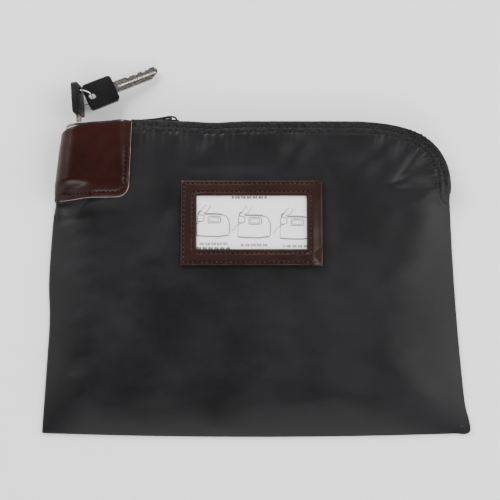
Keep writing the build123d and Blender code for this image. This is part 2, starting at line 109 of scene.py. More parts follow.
# ---- card window ----
FRAME_LOW, FRAME_HIGH = (-50.5, 7.0), (44.5, 65.4)
WINDOW_LOW, WINDOW_HIGH = (-39.7, 18.2), (33.7, 54.6)
FRAME_BASE = 12.4
CARD_PATH_TOP = 12.3
FRAME_THICK, FRAME_PUFF = 1.1, 1.15

# ---- stitching ----
STITCH_LENGTH, ZIP_STITCH_PITCH, COVER_STITCH_PITCH, FRAME_STITCH_PITCH = 2.1, 2.9, 3.1, 3.2
STITCH_ROWS = (4.2, 7.7)  # in from the cloth's folded edge
HEM_WIDE = 9.0
FRAME_STITCH_IN, FRAME_STITCH_OUT = 2.9, 2.1

# ---- keys ----
BOW_NEAR, BOW_FAR, BOW_HALF, BOW_THICK = 9.4, 30.6, 9.4, 3.8
BOW_CORNER_R = 2.3
HOLE_Y, HOLE_R = 26.2, 2.5
BLADE_TIP, GROOVE_Z = -23.0, -0.3
RING_R, RING_SHIFT, WIRE_R = 7.3, 1.8, 0.27
RING_TOP = (25.9, 1.6)
RING_TILT = math.radians(28.0)
SPARE_TURN, SPARE_DROOP = math.radians(24.6), math.radians(7.4)

# ---- view, in metres ----
VIEW_TILT, VIEW_DISTANCE, VIEW_WIDTH = math.radians(12.0), 1.150, 0.3375
VIEW_TARGET = (-0.0041, 0.0205, 0.0)

# ---- lights: name, place and target in metres, size, power in watts ----
LIGHTS = (
    ("key_light", (-0.70, 1.05, 0.70), (0, 0, 0), (1.1, 0.8), 25.0),
    ("fill_light", (1.20, 0.05, 0.75), (0.05, 0, 0), (1.0, 1.0), 14.0),
    ("top_light", (0.52, 0.02, 0.90), (0.10, 0, 0), (0.32, 0.40), 2.5),
    ("front_light", (0.1, -1.30, 0.65), (0, 0, 0), (1.4, 0.7), 17.0),
)


# ---------------------------------------------------------------- small maths
def smooth(t):
    """Smooth step from 0 to 1."""
    t = np.clip(t, 0.0, 1.0)
    return t * t * (3 - 2 * t)


def mix(a, b, t):
    return a + (b - a) * t


def noise_at(x, y, size, seed):
    """Smooth noise of about -1 to 1 over flat arrays, with features of the given size."""
    flat = zip(np.ravel(x), np.ravel(y))
    values = [noise.noise(Vector((a / size, b / size, seed))) for a, b in flat]
    return np.array(values).reshape(np.shape(x)) * 1.6


def bezier(points, t):
    """Points on a cubic curve."""
    p = np.array(points, float)
    t = np.asarray(t, float)[:, None]
    return (1 - t) ** 3 * p[0] + 3 * (1 - t) ** 2 * t * p[1] + 3 * (1 - t) * t**2 * p[2] + t**3 * p[3]


def distances(points):
    """How far along a polyline each of its points is."""
    return np.concatenate([[0], np.cumsum(np.linalg.norm(np.diff(points, axis=0), axis=1))])


def resample(points, count):
    """A polyline's points, spaced evenly along it."""
    points = np.asarray(points, float)
    along = distances(points)
    wanted = np.linspace(0, along[-1], count)
    return np.stack([np.interp(wanted, along, points[:, k]) for k in range(points.shape[1])], axis=1)


def nearest(x, y, line):
    """Distance from each point to a polyline, and how far along it the nearest place is."""
    points = np.stack([np.ravel(x), np.ravel(y)], axis=1)
    a, b = line[:-1], line[1:]
    d = b - a
    lengths = np.linalg.norm(d, axis=1)
    starts = distances(line)[:-1]
    best = np.full(len(points), 1e9)
    along = np.zeros(len(points))
    for n in range(len(a)):
        t = np.clip(((points - a[n]) @ d[n]) / lengths[n] ** 2, 0, 1)
        away = np.linalg.norm(points - a[n] - t[:, None] * d[n], axis=1)
        closer = away < best
        best = np.where(closer, away, best)
        along = np.where(closer, starts[n] + t * lengths[n], along)
    return best.reshape(np.shape(x)), along.reshape(np.shape(x))


# ---------------------------------------------------------------- meshes
def mesh_piece(name, points, faces, body, materials, slots=None, smooth_shaded=True):
    """A mesh object from points in millimetres, riding on a body."""
    mesh = bpy.data.meshes.new(name)
    mesh.from_pydata([tuple(p) for p in np.asarray(points, float) * MM], [], faces)
    mesh.update()
    piece = bpy.data.objects.new(name, mesh)
    bpy.context.scene.collection.objects.link(piece)
    for material in materials:
        mesh.materials.append(material)
    if slots is not None:
        mesh.polygons.foreach_set("material_index", np.asarray(slots, np.int32))
    mesh.polygons.foreach_set("use_smooth", np.full(len(faces), smooth_shaded))
    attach(piece, body)
    return piece


def grid_faces(rows, columns, close_rows=False, close_columns=False, start=0, flip=False):
    """Quads over a grid of points stored row by row."""
    faces = []
    for i in range(rows if close_rows else rows - 1):
        for j in range(columns if close_columns else columns - 1):
            i2, j2 = (i + 1) % rows, (j + 1) % columns
            quad = (i * columns + j, i2 * columns + j, i2 * columns + j2, i * columns + j2)
            faces.append(tuple(start + k for k in (quad[::-1] if flip else quad)))
    return faces


def grid_normals(grid, close_rows=False):
    """Unit normals of a grid of points."""
    if close_rows:
        du = np.roll(grid, -1, axis=0) - np.roll(grid, 1, axis=0)
    else:
        du = np.gradient(grid, axis=0)
    dv = np.gradient(grid, axis=1)
    n = np.cross(du, dv)
    return n / np.maximum(np.linalg.norm(n, axis=2, keepdims=True), 1e-9)


def thick_sheet(name, grid, thick, skin, edge, rounding, close_rows=False):
    """A sheet with a skin on both sides and its cut edges in their own material.
    The grid is the outer side; thick is measured against its normals."""
    rows, columns = grid.shape[:2]
    normals = grid_normals(grid, close_rows)
    outer = grid.copy()
    ease = np.zeros((rows, columns))
    ease[:, [0, -1]] = 1
    if not close_rows:
        ease[[0, -1], :] = 1
    outer -= normals * (ease * rounding)[:, :, None]
    inner = grid - normals * thick
    count = rows * columns
    points = np.concatenate([outer.reshape(-1, 3), inner.reshape(-1, 3)])
    top = grid_faces(rows, columns, close_rows)
    under = grid_faces(rows, columns, close_rows, start=count, flip=True)
    rim = []
    for i in range(rows if close_rows else rows - 1):
        i2 = (i + 1) % rows
        for j in (0, columns - 1):
            a, b = i * columns + j, i2 * columns + j
            quad = (a, a + count, b + count, b)
            rim.append(quad[::-1] if j == 0 else quad)
    if not close_rows:
        for j in range(columns - 1):
            for i in (0, rows - 1):
                a, b = i * columns + j, i * columns + j + 1
                quad = (a, a + count, b + count, b)
                rim.append(quad if i == 0 else quad[::-1])
    slots = [0] * (len(top) + len(under)) + [1] * len(rim)
    return mesh_piece(name, points, top + under + rim, "root", [skin, edge], slots)


def tube_mesh(path, radius, sides=8, closed=False):
    """Points and faces of a tube along a path. A radius may be given for each point."""
    path = np.asarray(path, float)
    count = len(path)
    radius = np.broadcast_to(radius, (count,))
    if closed:
        tangent = np.roll(path, -1, axis=0) - np.roll(path, 1, axis=0)
    else:
        tangent = np.gradient(path, axis=0)
    tangent /= np.linalg.norm(tangent, axis=1, keepdims=True)
    side = np.cross(tangent[0], (0.3, 0.2, 0.93))
    side /= np.linalg.norm(side)
    rings = []
    for n in range(count):
        side = side - tangent[n] * (side @ tangent[n])
        side /= np.linalg.norm(side)
        other = np.cross(tangent[n], side)
        for k in range(sides):
            angle = 2 * math.pi * k / sides
            rings.append(path[n] + radius[n] * (math.cos(angle) * side + math.sin(angle) * other))
    faces = grid_faces(count, sides, close_rows=closed, close_columns=True)
    if not closed:
        faces.append(tuple(range(sides)))
        faces.append(tuple(range(count * sides - 1, (count - 1) * sides - 1, -1)))
    return np.array(rings), faces


def join_meshes(parts):
    """Several (points, faces) pairs as one."""
    points, faces, start = [], [], 0
    for p, f in parts:
        points.append(p)
        faces += [tuple(start + k for k in face) for face in f]
        start += len(p)
    return np.concatenate(points), faces


def rounded(piece, width, segments=3):
    """Bevels a piece's sharp edges for good."""
    bevel = piece.modifiers.new("edges", "BEVEL")
    bevel.width = width * MM
    bevel.segments = segments
    bevel.limit_method = "ANGLE"
    bevel.angle_limit = math.radians(35.0)
    apply_modifiers(piece)


def apply_modifiers(piece):
    """Replaces a piece's mesh with its evaluated one."""
    bpy.context.view_layer.update()
    evaluated = piece.evaluated_get(bpy.context.evaluated_depsgraph_get())
    mesh = bpy.data.meshes.new_from_object(evaluated)
    piece.modifiers.clear()
    piece.data = mesh


def prism(outline, low, high):
    """Points and faces of a flat outline given thickness along Z."""
    count = len(outline)
    points = [(x, y, z) for z in (low, high) for x, y in outline]
    faces = [tuple(range(count))[::-1], tuple(range(count, 2 * count))]
    for n in range(count):
        m = (n + 1) % count
        faces.append((n, m, m + count, n + count))
    return np.array(points, float), faces


def standing_prism(outline, low, high, at):
    """Points and faces of an outline in X-Z given thickness along Y, moved to a place."""
    points, faces = prism(outline, low, high)
    return points[:, [0, 2, 1]] + np.array(at), [face[::-1] for face in faces]


def rectangle(low, high):
    """A rectangle's corners, counter-clockwise from its lower left."""
    return [(low[0], low[1]), (high[0], low[1]), (high[0], high[1]), (low[0], high[1])]


def circle(centre, radius, count):
    """Points round a circle."""
    angles = np.linspace(0, 2 * math.pi, count + 1)[:-1]
    return [(centre[0] + radius * math.cos(a), centre[1] + radius * math.sin(a)) for a in angles]


def rounded_rectangle(half_x, half_y, radius, steps=6):
    """The outline of a rectangle with round corners."""
    points = []
    for corner, (sx, sy) in enumerate(((1, 1), (-1, 1), (-1, -1), (1, -1))):
        for k in range(steps + 1):
            angle = math.pi / 2 * (corner + k / steps)
            x = sx * (half_x - radius) + radius * math.cos(angle)
            y = sy * (half_y - radius) + radius * math.sin(angle)
            points.append((x, y))
    return points


def placed(points, place):
    """Points moved by a 4 by 4 matrix."""
    points = np.asarray(points, float)
    turn = np.array(place.to_3x3())
    return points @ turn.T + np.array(place.translation)


# ---------------------------------------------------------------- places
def turned(angle, axis):
    return Matrix.Rotation(angle, 4, axis)


def lock_place():
    return Matrix.Translation(LOCK_AT) @ turned(LOCK_LEAN, "Z")


def key_place():
    return lock_place() @ Matrix.Translation((KEY_X, 0, 0)) @ turned(KEY_LEAN, "Y")


def lock_xy(x, y):
    """Bag coordinates in the lock's frame."""
    dx, dy = x - LOCK_AT[0], y - LOCK_AT[1]
    c, s = math.cos(LOCK_LEAN), math.sin(LOCK_LEAN)
    return c * dx + s * dy, c * dy - s * dx


def bag_xy(x, y):
    """Lock coordinates in the bag's frame."""
    c, s = math.cos(LOCK_LEAN), math.sin(LOCK_LEAN)
    return LOCK_AT[0] + c * x - s * y, LOCK_AT[1] + s * x + c * y


# ---------------------------------------------------------------- outline
def bottom_y(x):
    """The bottom seam, which sags a little between its corners."""
    return BOTTOM_Y - LOW_SAG * (1 - (x / RIGHT_X) ** 2)


def right_edge():
    """The right side from the bottom corner's ear up to the end of the zipper."""
    y = np.linspace(BOTTOM_Y + 5.0, CORNER[3][1], 60)
    t = (y - y[0]) / (y[-1] - y[0])
    x = mix(SIDE_X, CORNER[3][0], t) - RIGHT_HOLLOW * 4 * t * (1 - t)
    flare = 1.9 * np.exp(-((y - y[0]) / 9.0) ** 2)
    return np.stack([x + flare, y], axis=1)


def ear():
    """The turned corner at the bottom right, from the bottom seam round to the side."""
    start, end = (EAR_X, bottom_y(EAR_X)), tuple(right_edge()[0])
    return bezier((start, (139.0, BOTTOM_Y - 1.6), (142.6, BOTTOM_Y - 0.4), end), np.linspace(0, 1, 14))


def bottom_edge():
    x = np.linspace(LEFT_X, EAR_X, 60)
    return np.concatenate([np.stack([x, bottom_y(x)], axis=1), ear()[1:9]])


def side_to_corner():
    """From the ear's middle up the right side and half way round the zipper corner."""
    corner = bezier(CORNER, np.linspace(1, 0.5, 30))
    return np.concatenate([ear()[8:-1], right_edge(), corner[1:]])


def sag(line):
    """The zipper's edge lies a little low beside the slider."""
    line = np.array(line, float)
    line[:, 1] -= 0.3 * (1 - smooth((line[:, 0] + 40.0) / 30.0))
    line[:, 1] -= 0.9 * np.exp(-(((line[:, 0] + 28.0) / 12.0) ** 2))
    return line


def hem_edge(start_x, straight_count, corner_share, corner_count):
    """The folded edge at the top, from a place on the straight run to some way round the corner."""
    x = np.linspace(start_x, STRAIGHT_END_X, straight_count)
    straight = np.stack([x, np.full(straight_count, HEM_Y)], axis=1)
    corner = bezier(CORNER, np.linspace(0, corner_share, corner_count))
    return sag(np.concatenate([straight, corner]))


def top_edge():
    return hem_edge(TOP_LEFT_X, 90, 0.5, 30)


def left_edge():
    """The left side, which bulges out a little below the lock."""
    y = np.linspace(BOTTOM_Y, TOP_Y, 50)
    straight = mix(LEFT_X, TOP_LEFT_X, (y - BOTTOM_Y) / (TOP_Y - BOTTOM_Y))
    return np.stack([straight - LEFT_BULGE * np.exp(-(((y - 20.0) / 38.0) ** 4)), y], axis=1)


def seam_line():
    """The sewn edges: left, bottom and right up to the zipper's end."""
    return np.concatenate([left_edge()[::-1], bottom_edge()[1:], side_to_corner()[1:-29]])


def zipper_line(start_x=-84.0, end_y=None):
    """The zipper's edge, from beside the lock round the corner."""
    line = hem_edge(start_x, 60, 1, 60)
    return line if end_y is None else line[line[:, 1] >= end_y]


SEAM = resample(seam_line(), 240)
ZIPPER = resample(zipper_line(), 260)
LEFT_SIDE = resample(left_edge(), 70)
LOW_SIDE = resample(bottom_edge(), 90)
RIGHT_SIDE = resample(np.concatenate([ear()[8:-1], right_edge()]), 90)


# ---------------------------------------------------------------- cloth height
def pucker(away, along):
    """Small gathers that the zipper's stitching pulls into the cloth."""
    wave = np.sin(along / 0.74 + 2.6 * np.sin(along / 19.0)) + 0.7 * np.sin(along / 1.7 + 1.0)
    reach = smooth((away - 5.5) / 3.0) * np.exp(-np.clip(away - 8.5, 0, None) / 5.0)
    wide = 1.3 * np.sin(along / 4.4 + 1.6 * np.sin(along / 37.0))
    far = smooth((away - 6.0) / 5.0) * np.exp(-np.clip(away - 11.0, 0, None) / 16.0)
    strength = 0.6 + 0.4 * np.sin(along / 31.0 + 0.6)
    return (0.32 * wave * reach + 0.50 * wide * far) * strength


def folds(x, y):
    """Broad, middling and fine soft undulations."""
    broad = 1.2 * noise_at(x, y, 70.0, 3.1)
    middle = 0.55 * noise_at(x * 1.4 + y * 0.5, y * 0.8 - x * 0.3, 34.0, 8.7)
    fine = 0.20 * noise_at(x * 0.7 + y * 0.7, y * 1.2 - x * 0.4, 12.0, 5.2)
    return broad + middle + fine


def crease(x, y, start, end, width, height):
    """A soft ridge from one place to another."""
    a, b = np.array(start), np.array(end)
    d = b - a
    t = ((x - a[0]) * d[0] + (y - a[1]) * d[1]) / (d @ d)
    off = ((x - a[0]) * d[1] - (y - a[1]) * d[0]) / np.linalg.norm(d)
    body = np.exp(-((off / width) ** 2))
    return height * body * smooth(t / 0.3) * smooth((1 - t) / 0.45)


def swell(distance, reach):
    """0 at a sewn edge, rounding up to 1 at some distance from it."""
    return 1 - (1 - np.clip(distance / reach, 0, 1)) ** 1.9


def cloth_height(x, y):
    """How high the front cloth's outer side stands over the surface that the bag lies on."""
    x, y = np.asarray(x, float), np.asarray(y, float)
    away, along = nearest(x, y, ZIPPER)
    to_left, to_low, to_right = (nearest(x, y, side)[0] for side in (LEFT_SIDE, LOW_SIDE, RIGHT_SIDE))
    to_seam = np.minimum(np.minimum(to_left, to_low), to_right)
    near_corner = smooth((x - 85.0) / 35.0) * smooth((y - 5.0) / 45.0)
    to_right = to_right + 18.0 * smooth((y - 46.0) / 22.0)
    rise = swell(to_left, LEFT_FALL) * swell(to_low, LOW_FALL)
    rise = rise * swell(to_right, mix(RIGHT_FALL, CORNER_FALL, near_corner))
    wave = folds(x, y) + creases(x, y)
    flat = frame_flatness(x, y)
    loose = (1 - flat) * smooth(away / 14.0) * smooth(to_seam / 25.0)
    top = mix(CLOTH_TOP + wave * loose, FRAME_BASE, flat)
    height = mix(SEAM_Z, top, rise)
    height = mix(height, lock_hump(x, y, height), lock_share(x, y))
    height = mix(height, soft_limit(height, CARD_PATH_TOP), card_path(x, y))
    height += pucker(away, along) * rise
    height += 0.20 * hem_grain(x, y) * (1 - smooth((away - 6.0) / 3.0)) * rise
    for row in STITCH_ROWS:
        height -= 0.65 * np.exp(-(((away - row) / 0.75) ** 2)) * smooth(along / 6.0)
    return height


def card_path(x, y):
    """1 beside the frame where the card slides out over the cloth, 0 elsewhere."""
    inside = np.minimum(y - WINDOW_LOW[1] + 4.0, WINDOW_HIGH[1] + 4.0 - y)
    return smooth((x - FRAME_HIGH[0] + 4.0) / 4.0) * smooth((inside + 6.0) / 6.0)


def soft_limit(height, top):
    """The height, eased so that it stays just under a top."""
    over = height - top
    return height - 0.5 * (over + np.sqrt(over**2 + 0.16))


def creases(x, y):
    """The height that all the listed creases add."""
    total = np.zeros(np.shape(x))
    for start, end, width, height in CREASES:
        total += crease(x, y, start, end, width, height)
    return total


def frame_flatness(x, y):
    """1 under the window frame, falling to 0 a little way out from it."""
    dx = np.maximum(FRAME_LOW[0] - x, x - FRAME_HIGH[0])
    dy = np.maximum(FRAME_LOW[1] - y, y - FRAME_HIGH[1])
    out = np.hypot(np.clip(dx, 0, None), np.clip(dy, 0, None))
    return 1 - smooth(out / 12.0)


def lock_hump(x, y, height):
    """The pocket's cloth over the lock: flat, round at both ends, easing down to the bag on the right."""
    u, v = lock_xy(x, y)
    end = HOUSING_END_X + 9.0 * smooth((HOUSING_REAR + 8.0 - v) / 20.0)
    left = np.clip(-end - u, 0, 0.98 * POCKET_R)
    bend = POCKET_R * math.sin(POCKET_SLOPE)
    off = np.clip(u - HOUSING_END_X, 0, bend)
    arc = LOCK_AT[2] + np.sqrt(POCKET_R**2 - np.maximum(off, left) ** 2)
    corner = LOCK_AT[2] + POCKET_R * math.cos(POCKET_SLOPE)
    beyond = np.clip(u - HOUSING_END_X - bend, 0, None)
    drop = corner - np.minimum(height, corner - 1.0)
    eased = corner - drop * (1 - np.exp(-beyond * math.tan(POCKET_SLOPE) / drop))
    return np.where(beyond > 0, eased, arc)


def lock_share(x, y):
    """1 over the lock's length, falling to 0 well below it."""
    _, v = lock_xy(x, y)
    return smooth((v - POCKET_END) / (HOUSING_REAR - POCKET_END))


def hem_grain(x, y):
    """The small bumps that stitching through several layers leaves in the hem."""
    return noise_at(x, y, 1.7, 6.6)


# ---------------------------------------------------------------- materials
WAVE_UNIT = 0.314159  # a wave texture's scale times its pitch in metres


class Paint:
    """A procedural material in the making: its shader and the nodes that feed it."""

    def __init__(self, name):
        self.material = bpy.data.materials.new(name)
        self.material.use_nodes = True
        self.tree = self.material.node_tree
        self.shader = self.tree.nodes["Principled BSDF"]
        self.place = self.stretched((1, 1, 1))
        self.normal = None

    def add(self, kind, **values):
        """A node, with its settings and input values given by name."""
        node = self.tree.nodes.new(kind)
        for key, value in values.items():
            if hasattr(node, key):
                setattr(node, key, value)
            else:
                node.inputs[key.replace("_", " ")].default_value = value
        return node

    def link(self, output, socket):
        self.tree.links.new(output, socket)

    def feed(self, name, output):
        """Drives one of the shader's inputs."""
        self.link(output, self.shader.inputs[name])

    def settle(self, **values):
        """Sets the shader's inputs that are the same all over, and gives the material."""
        for key, value in values.items():
            self.shader.inputs[key.replace("_", " ")].default_value = value
        return self.material

    def stretched(self, stretch):
        """Object coordinates, stretched along each axis."""
        scale = self.add("ShaderNodeMapping", Scale=stretch)
        self.link(self.add("ShaderNodeTexCoord").outputs["Object"], scale.inputs["Vector"])
        return scale.outputs["Vector"]

    def noise(self, scale, detail=4.0, place=None):
        texture = self.add("ShaderNodeTexNoise", Scale=scale, Detail=detail, Roughness=0.55)
        self.link(self.place if place is None else place, texture.inputs["Vector"])
        return texture.outputs["Fac"]

    def ramp(self, source, low, high, at=(0.3, 0.7)):
        """A colour that runs from low to high as source goes between two values."""
        node = self.add("ShaderNodeValToRGB")
        for element, position, colour in zip(node.color_ramp.elements, at, (low, high)):
            element.position = position
            element.color = (*colour, 1.0)
        self.link(source, node.inputs["Fac"])
        return node.outputs["Color"]

    def remap(self, source, low, high, at=(0.3, 0.7)):
        """A number that runs from low to high as source goes between two values."""
        node = self.add("ShaderNodeMapRange", From_Min=at[0], From_Max=at[1], To_Min=low, To_Max=high)
        self.link(source, node.inputs["Value"])
        return node.outputs["Result"]

    def combine(self, a, b, operation):
        """Two numbers put together by one operation."""
        node = self.add("ShaderNodeMath", operation=operation)
        self.link(a, node.inputs[0])
        self.link(b, node.inputs[1])
        return node.outputs[0]

    def bump(self, height, strength, distance):
        """Raises the surface by a height in metres, on top of any earlier bump."""
        node = self.add("ShaderNodeBump", Strength=strength, Distance=distance)
        self.link(height, node.inputs["Height"])
        if self.normal is not None:
            self.link(self.normal, node.inputs["Normal"])
        self.normal = node.outputs["Normal"]
        self.feed("Normal", self.normal)

    def weave(self, pitch):
        """Over-and-under threads in X and Y at a pitch in metres."""
        bands = []
        for axis in ("X", "Y"):
            wave = self.add("ShaderNodeTexWave", wave_type="BANDS", bands_direction=axis,
                            Scale=WAVE_UNIT / pitch, Distortion=0.6, Detail=1.0)
            self.link(self.place, wave.inputs["Vector"])
            bands.append(wave.outputs["Fac"])
        return self.combine(*bands, "MULTIPLY")


def nylon():
    """Black coated nylon: fine plain weave, a satin sheen, faint scuffs and a lumpy stitched hem."""
    paint = Paint("nylon_cloth")
    mottle = paint.noise(22.0, 5.0)
    plain = paint.ramp(mottle, (0.0028, 0.0028, 0.0035), (0.0066, 0.0066, 0.0078))
    bumps = paint.noise(620.0, 2.0)
    raised = paint.ramp(bumps, (0.0022, 0.0022, 0.0026), (0.0125, 0.0125, 0.0135), (0.35, 0.65))
    hem_share = paint.add("ShaderNodeAttribute", attribute_name="hem").outputs["Fac"]
    both = paint.add("ShaderNodeMix", data_type="RGBA")
    for socket, source in ((0, hem_share), (6, plain), (7, raised)):
        paint.link(source, both.inputs[socket])
    paint.feed("Base Color", both.outputs[2])
    grit = paint.remap(paint.noise(900.0, 3.0), -0.05, 0.05)
    paint.feed("Roughness", paint.combine(paint.remap(mottle, 0.42, 0.56), grit, "ADD"))
    paint.bump(paint.weave(0.00055), 0.22, 0.00012)
    paint.bump(paint.noise(160.0), 0.10, 0.0009)
    paint.bump(paint.combine(bumps, hem_share, "MULTIPLY"), 0.40, 0.0007)
    return paint.settle(Sheen_Weight=0.02, Sheen_Roughness=0.5, Specular_IOR_Level=0.22)


def woven(name, low, high, pitch):
    """Matte woven tape."""
    paint = Paint(name)
    threads = paint.weave(pitch)
    paint.feed("Base Color", paint.ramp(threads, low, high, (0.1, 0.9)))
    paint.bump(threads, 0.5, 0.0002)
    return paint.settle(Roughness=0.85, Sheen_Weight=0.2)


def leatherette(name, dark, light, shine, grain_depth):
    """Glossy grained leatherette: pebbled grain, a polished coat and soft colour change."""
    paint = Paint(name)
    paint.feed("Base Color", paint.ramp(paint.noise(38.0), dark, light))
    cells = paint.add("ShaderNodeTexVoronoi", feature="SMOOTH_F1", Scale=1150.0)
    paint.link(paint.place, cells.inputs["Vector"])
    grain = paint.combine(cells.outputs["Distance"], paint.noise(700.0, 3.0), "ADD")
    paint.bump(grain, grain_depth, 0.00018)
    paint.bump(paint.noise(120.0, 3.0), 0.16, 0.0010)
    paint.feed("Roughness", paint.remap(grain, 0.30, 0.46, (0.4, 1.3)))
    return paint.settle(Specular_IOR_Level=shine, Coat_Weight=shine + 0.04, Coat_Roughness=0.22)


def grained(name, low, high, scale, rough, detail=4.0, relief=None, **values):
    """Two tones in one grain. Its relief, where it has any, is a bump's strength and distance."""
    paint = Paint(name)
    grain = paint.noise(scale, detail)
    paint.feed("Base Color", paint.ramp(grain, low, high))
    if relief:
        paint.bump(grain, *relief)
    return paint.settle(Roughness=rough, **values)


def thread(name, low, high):
    """Twisted sewing thread."""
    return grained(name, low, high, 2400.0, 0.7, 2.0, (0.4, 0.0001), Specular_IOR_Level=0.12)


def moulded(name, low, high, rough, grain, strength):
    """Moulded or enamelled black: a fine spark-eroded texture with faint shine."""
    paint = Paint(name)
    cloud = paint.noise(90.0)
    paint.feed("Base Color", paint.ramp(cloud, low, high))
    paint.feed("Roughness", paint.remap(cloud, rough - 0.06, rough + 0.08))
    paint.bump(paint.noise(grain, 3.0), strength, 0.00015)
    return paint.settle(Specular_IOR_Level=0.18)


def metal(name, low, high, rough, brush=(1, 1, 1), strength=0.06, scratch=600.0):
    """Plated metal with brushing along one axis and slight tarnish."""
    paint = Paint(name)
    lines = paint.noise(scratch, 3.0, paint.stretched(brush))
    paint.feed("Base Color", paint.ramp(paint.noise(210.0, 5.0), low, high))
    paint.feed("Roughness", paint.remap(lines, rough - 0.07, rough + 0.10))
    paint.bump(lines, strength, 0.0001)
    return paint.settle(Metallic=1.0)


def clear_film():
    """Clear vinyl with a few faint ripples."""
    paint = Paint("clear_film")
    paint.bump(paint.noise(30.0, 2.0), 0.25, 0.002)
    return paint.settle(Base_Color=(0.96, 0.97, 0.97, 1), Roughness=0.12, Alpha=0.10)


NYLON = nylon()
ZIP_TAPE = woven("zipper_tape", (0.004, 0.004, 0.0045), (0.012, 0.012, 0.013), 0.0006)
SEAM_TAPE = woven("seam_tape", (0.010, 0.010, 0.010), (0.035, 0.035, 0.035), 0.0008)
COIL = moulded("zipper_coil", (0.003, 0.003, 0.0035), (0.008, 0.008, 0.009), 0.40, 2200.0, 0.12)
ENAMEL = moulded("slider_black", (0.003, 0.003, 0.0035), (0.007, 0.007, 0.0075), 0.28, 900.0, 0.08)
BOW = moulded("bow_plastic", (0.0022, 0.0022, 0.0022), (0.0048, 0.0048, 0.0046), 0.46, 1600.0, 0.16)
LEATHER = leatherette("brown_leatherette", (0.0120, 0.0020, 0.0012), (0.023, 0.0047, 0.0031), 0.12, 0.20)
FRAME_LEATHER = leatherette("frame_leatherette", (0.012, 0.0032, 0.0023), (0.024, 0.0076, 0.0057), 0.2, 0.4)
CUT_EDGE = grained("cut_edge", (0.17, 0.12, 0.105), (0.29, 0.215, 0.20), 1500.0, 0.7, 4.0, (0.5, 0.0002))
CAP_METAL = metal("cap_nickel", (0.20, 0.19, 0.18), (0.36, 0.34, 0.33), 0.20, (1, 8, 8))
KEY_METAL = metal("key_nickel", (0.36, 0.32, 0.28), (0.46, 0.42, 0.38), 0.24, (1, 6, 6), 0.04, 250.0)
# painted highlight: a much lighter copy of the key's nickel, for the bright line in the spare blade's
# groove
GROOVE_HIGHLIGHT_METAL = metal("key_groove_highlight", (0.80, 0.78, 0.76), (0.92, 0.90, 0.88), 0.16)
RING_METAL = metal("ring_steel", (0.55, 0.55, 0.55), (0.72, 0.72, 0.71), 0.18)
LOCK_METAL = metal("lock_metal", (0.36, 0.36, 0.37), (0.50, 0.50, 0.50), 0.38, (6, 1, 6))
SCREW_METAL = metal("screw_steel", (0.40, 0.40, 0.41), (0.55, 0.55, 0.55), 0.30)
SPRING_METAL = metal("spring_steel", (0.32, 0.32, 0.34), (0.44, 0.44, 0.46), 0.30)
PLUG_METAL = metal("plug_brass", (0.50, 0.42, 0.26), (0.62, 0.54, 0.36), 0.30, (1, 8, 1))
WAFER_METAL = metal("wafer_brass", (0.55, 0.38, 0.15), (0.68, 0.50, 0.22), 0.32)
BLACK_THREAD = thread("black_thread", (0.0012, 0.0012, 0.0015), (0.004, 0.004, 0.005))
BROWN_THREAD = thread("brown_thread", (0.004, 0.0022, 0.0018), (0.016, 0.008, 0.007))
# painted highlight: pale specks that stand for the leather's glint between stitches
GLINT_THREAD = thread("glint_thread", (0.035, 0.027, 0.024), (0.13, 0.10, 0.09))
CARD = grained("card_paper", (0.88, 0.88, 0.87), (0.95, 0.95, 0.94), 800.0, 0.55, 4.0, (0.08, 0.0001))
INK = grained("print_ink", (0.012, 0.012, 0.014), (0.05, 0.05, 0.055), 3000.0, 0.6, 2.0)
FLOOR = grained("studio_floor", (0.93, 0.93, 0.93), (0.95, 0.95, 0.95), 3.0, 0.9)
FILM = clear_film()

NODE_MATERIALS = (
    (SEAM_TAPE, ("seam_binding",)),
    (ZIP_TAPE, ("zip_tape_front", "zip_tape_back")),
    (FILM, ("window_film",)),
    (LOCK_METAL, ("lock_housing", "housing_base", "slot_deck", "spring_post")),
    (SCREW_METAL, ("base_screws", "travel_pin", "locking_pin", "plug_cam", "cam_screw")),
    (SPRING_METAL, ("popup_spring", "wafer_springs")),
    (CAP_METAL, ("lock_cap", "barrel_shell")),
    (PLUG_METAL, ("cylinder_plug",)),
    (WAFER_METAL, ("wafer_tumblers",)),
    (KEY_METAL, ("key_blade", "spare_blade")),
)


def paint_nodes():
    """Materials for the CAD nodes that stay as they are."""
    for material, nodes in NODE_MATERIALS:
        for node in nodes:
            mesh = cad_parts[node].data
            mesh.materials.clear()
            mesh.materials.append(material)


# ---------------------------------------------------------------- cloth pieces
def patch_points(rows, columns):
    """Places over the whole panel: rows across from left to right, columns from bottom to zipper."""
    low, high = resample(bottom_edge(), rows), resample(top_edge(), rows)
    left, right = resample(left_edge(), columns), resample(side_to_corner(), columns)
    u = np.linspace(0, 1, rows)[:, None, None]
    v = np.linspace(0, 1, columns)[None, :, None]
    across = (1 - u) * left[None] + u * right[None]
    upward = (1 - v) * low[:, None] + v * high[:, None]
    corners = (1 - u) * ((1 - v) * low[0] + v * high[0]) + u * ((1 - v) * low[-1] + v * high[-1])
    return across + upward - corners


def inset_from_edge(grid, amount):
    """The panel's grid with its outermost points drawn in by an amount."""
    out = grid.copy()
    for index in ((0, slice(None)), (-1, slice(None)), (slice(None), 0), (slice(None), -1)):
        toward_middle = -grid[index] / np.linalg.norm(grid[index], axis=-1, keepdims=True)
        out[index] = grid[index] + toward_middle * amount
    return out


def under_lock(x, y):
    """Where the lock and its cover take the cloth's place."""
    u, v = lock_xy(x, y)
    _, right = cover_ends(v)
    return (u < right - 5.0) & (v > COVER_LOW + 6.0)


def mark_hem(piece):
    """Marks how much each point belongs to the stitched hem, for the cloth's material."""
    mesh = piece.data
    at = np.zeros(3 * len(mesh.vertices))
    mesh.vertices.foreach_get("co", at)
    x, y = at[0::3] / MM, at[1::3] / MM
    away, _ = nearest(x, y, ZIPPER)
    share = 1 - smooth((away - HEM_WIDE + 1.0) / 1.6)
    mesh.attributes.new("hem", "FLOAT", "POINT").data.foreach_set("value", share)


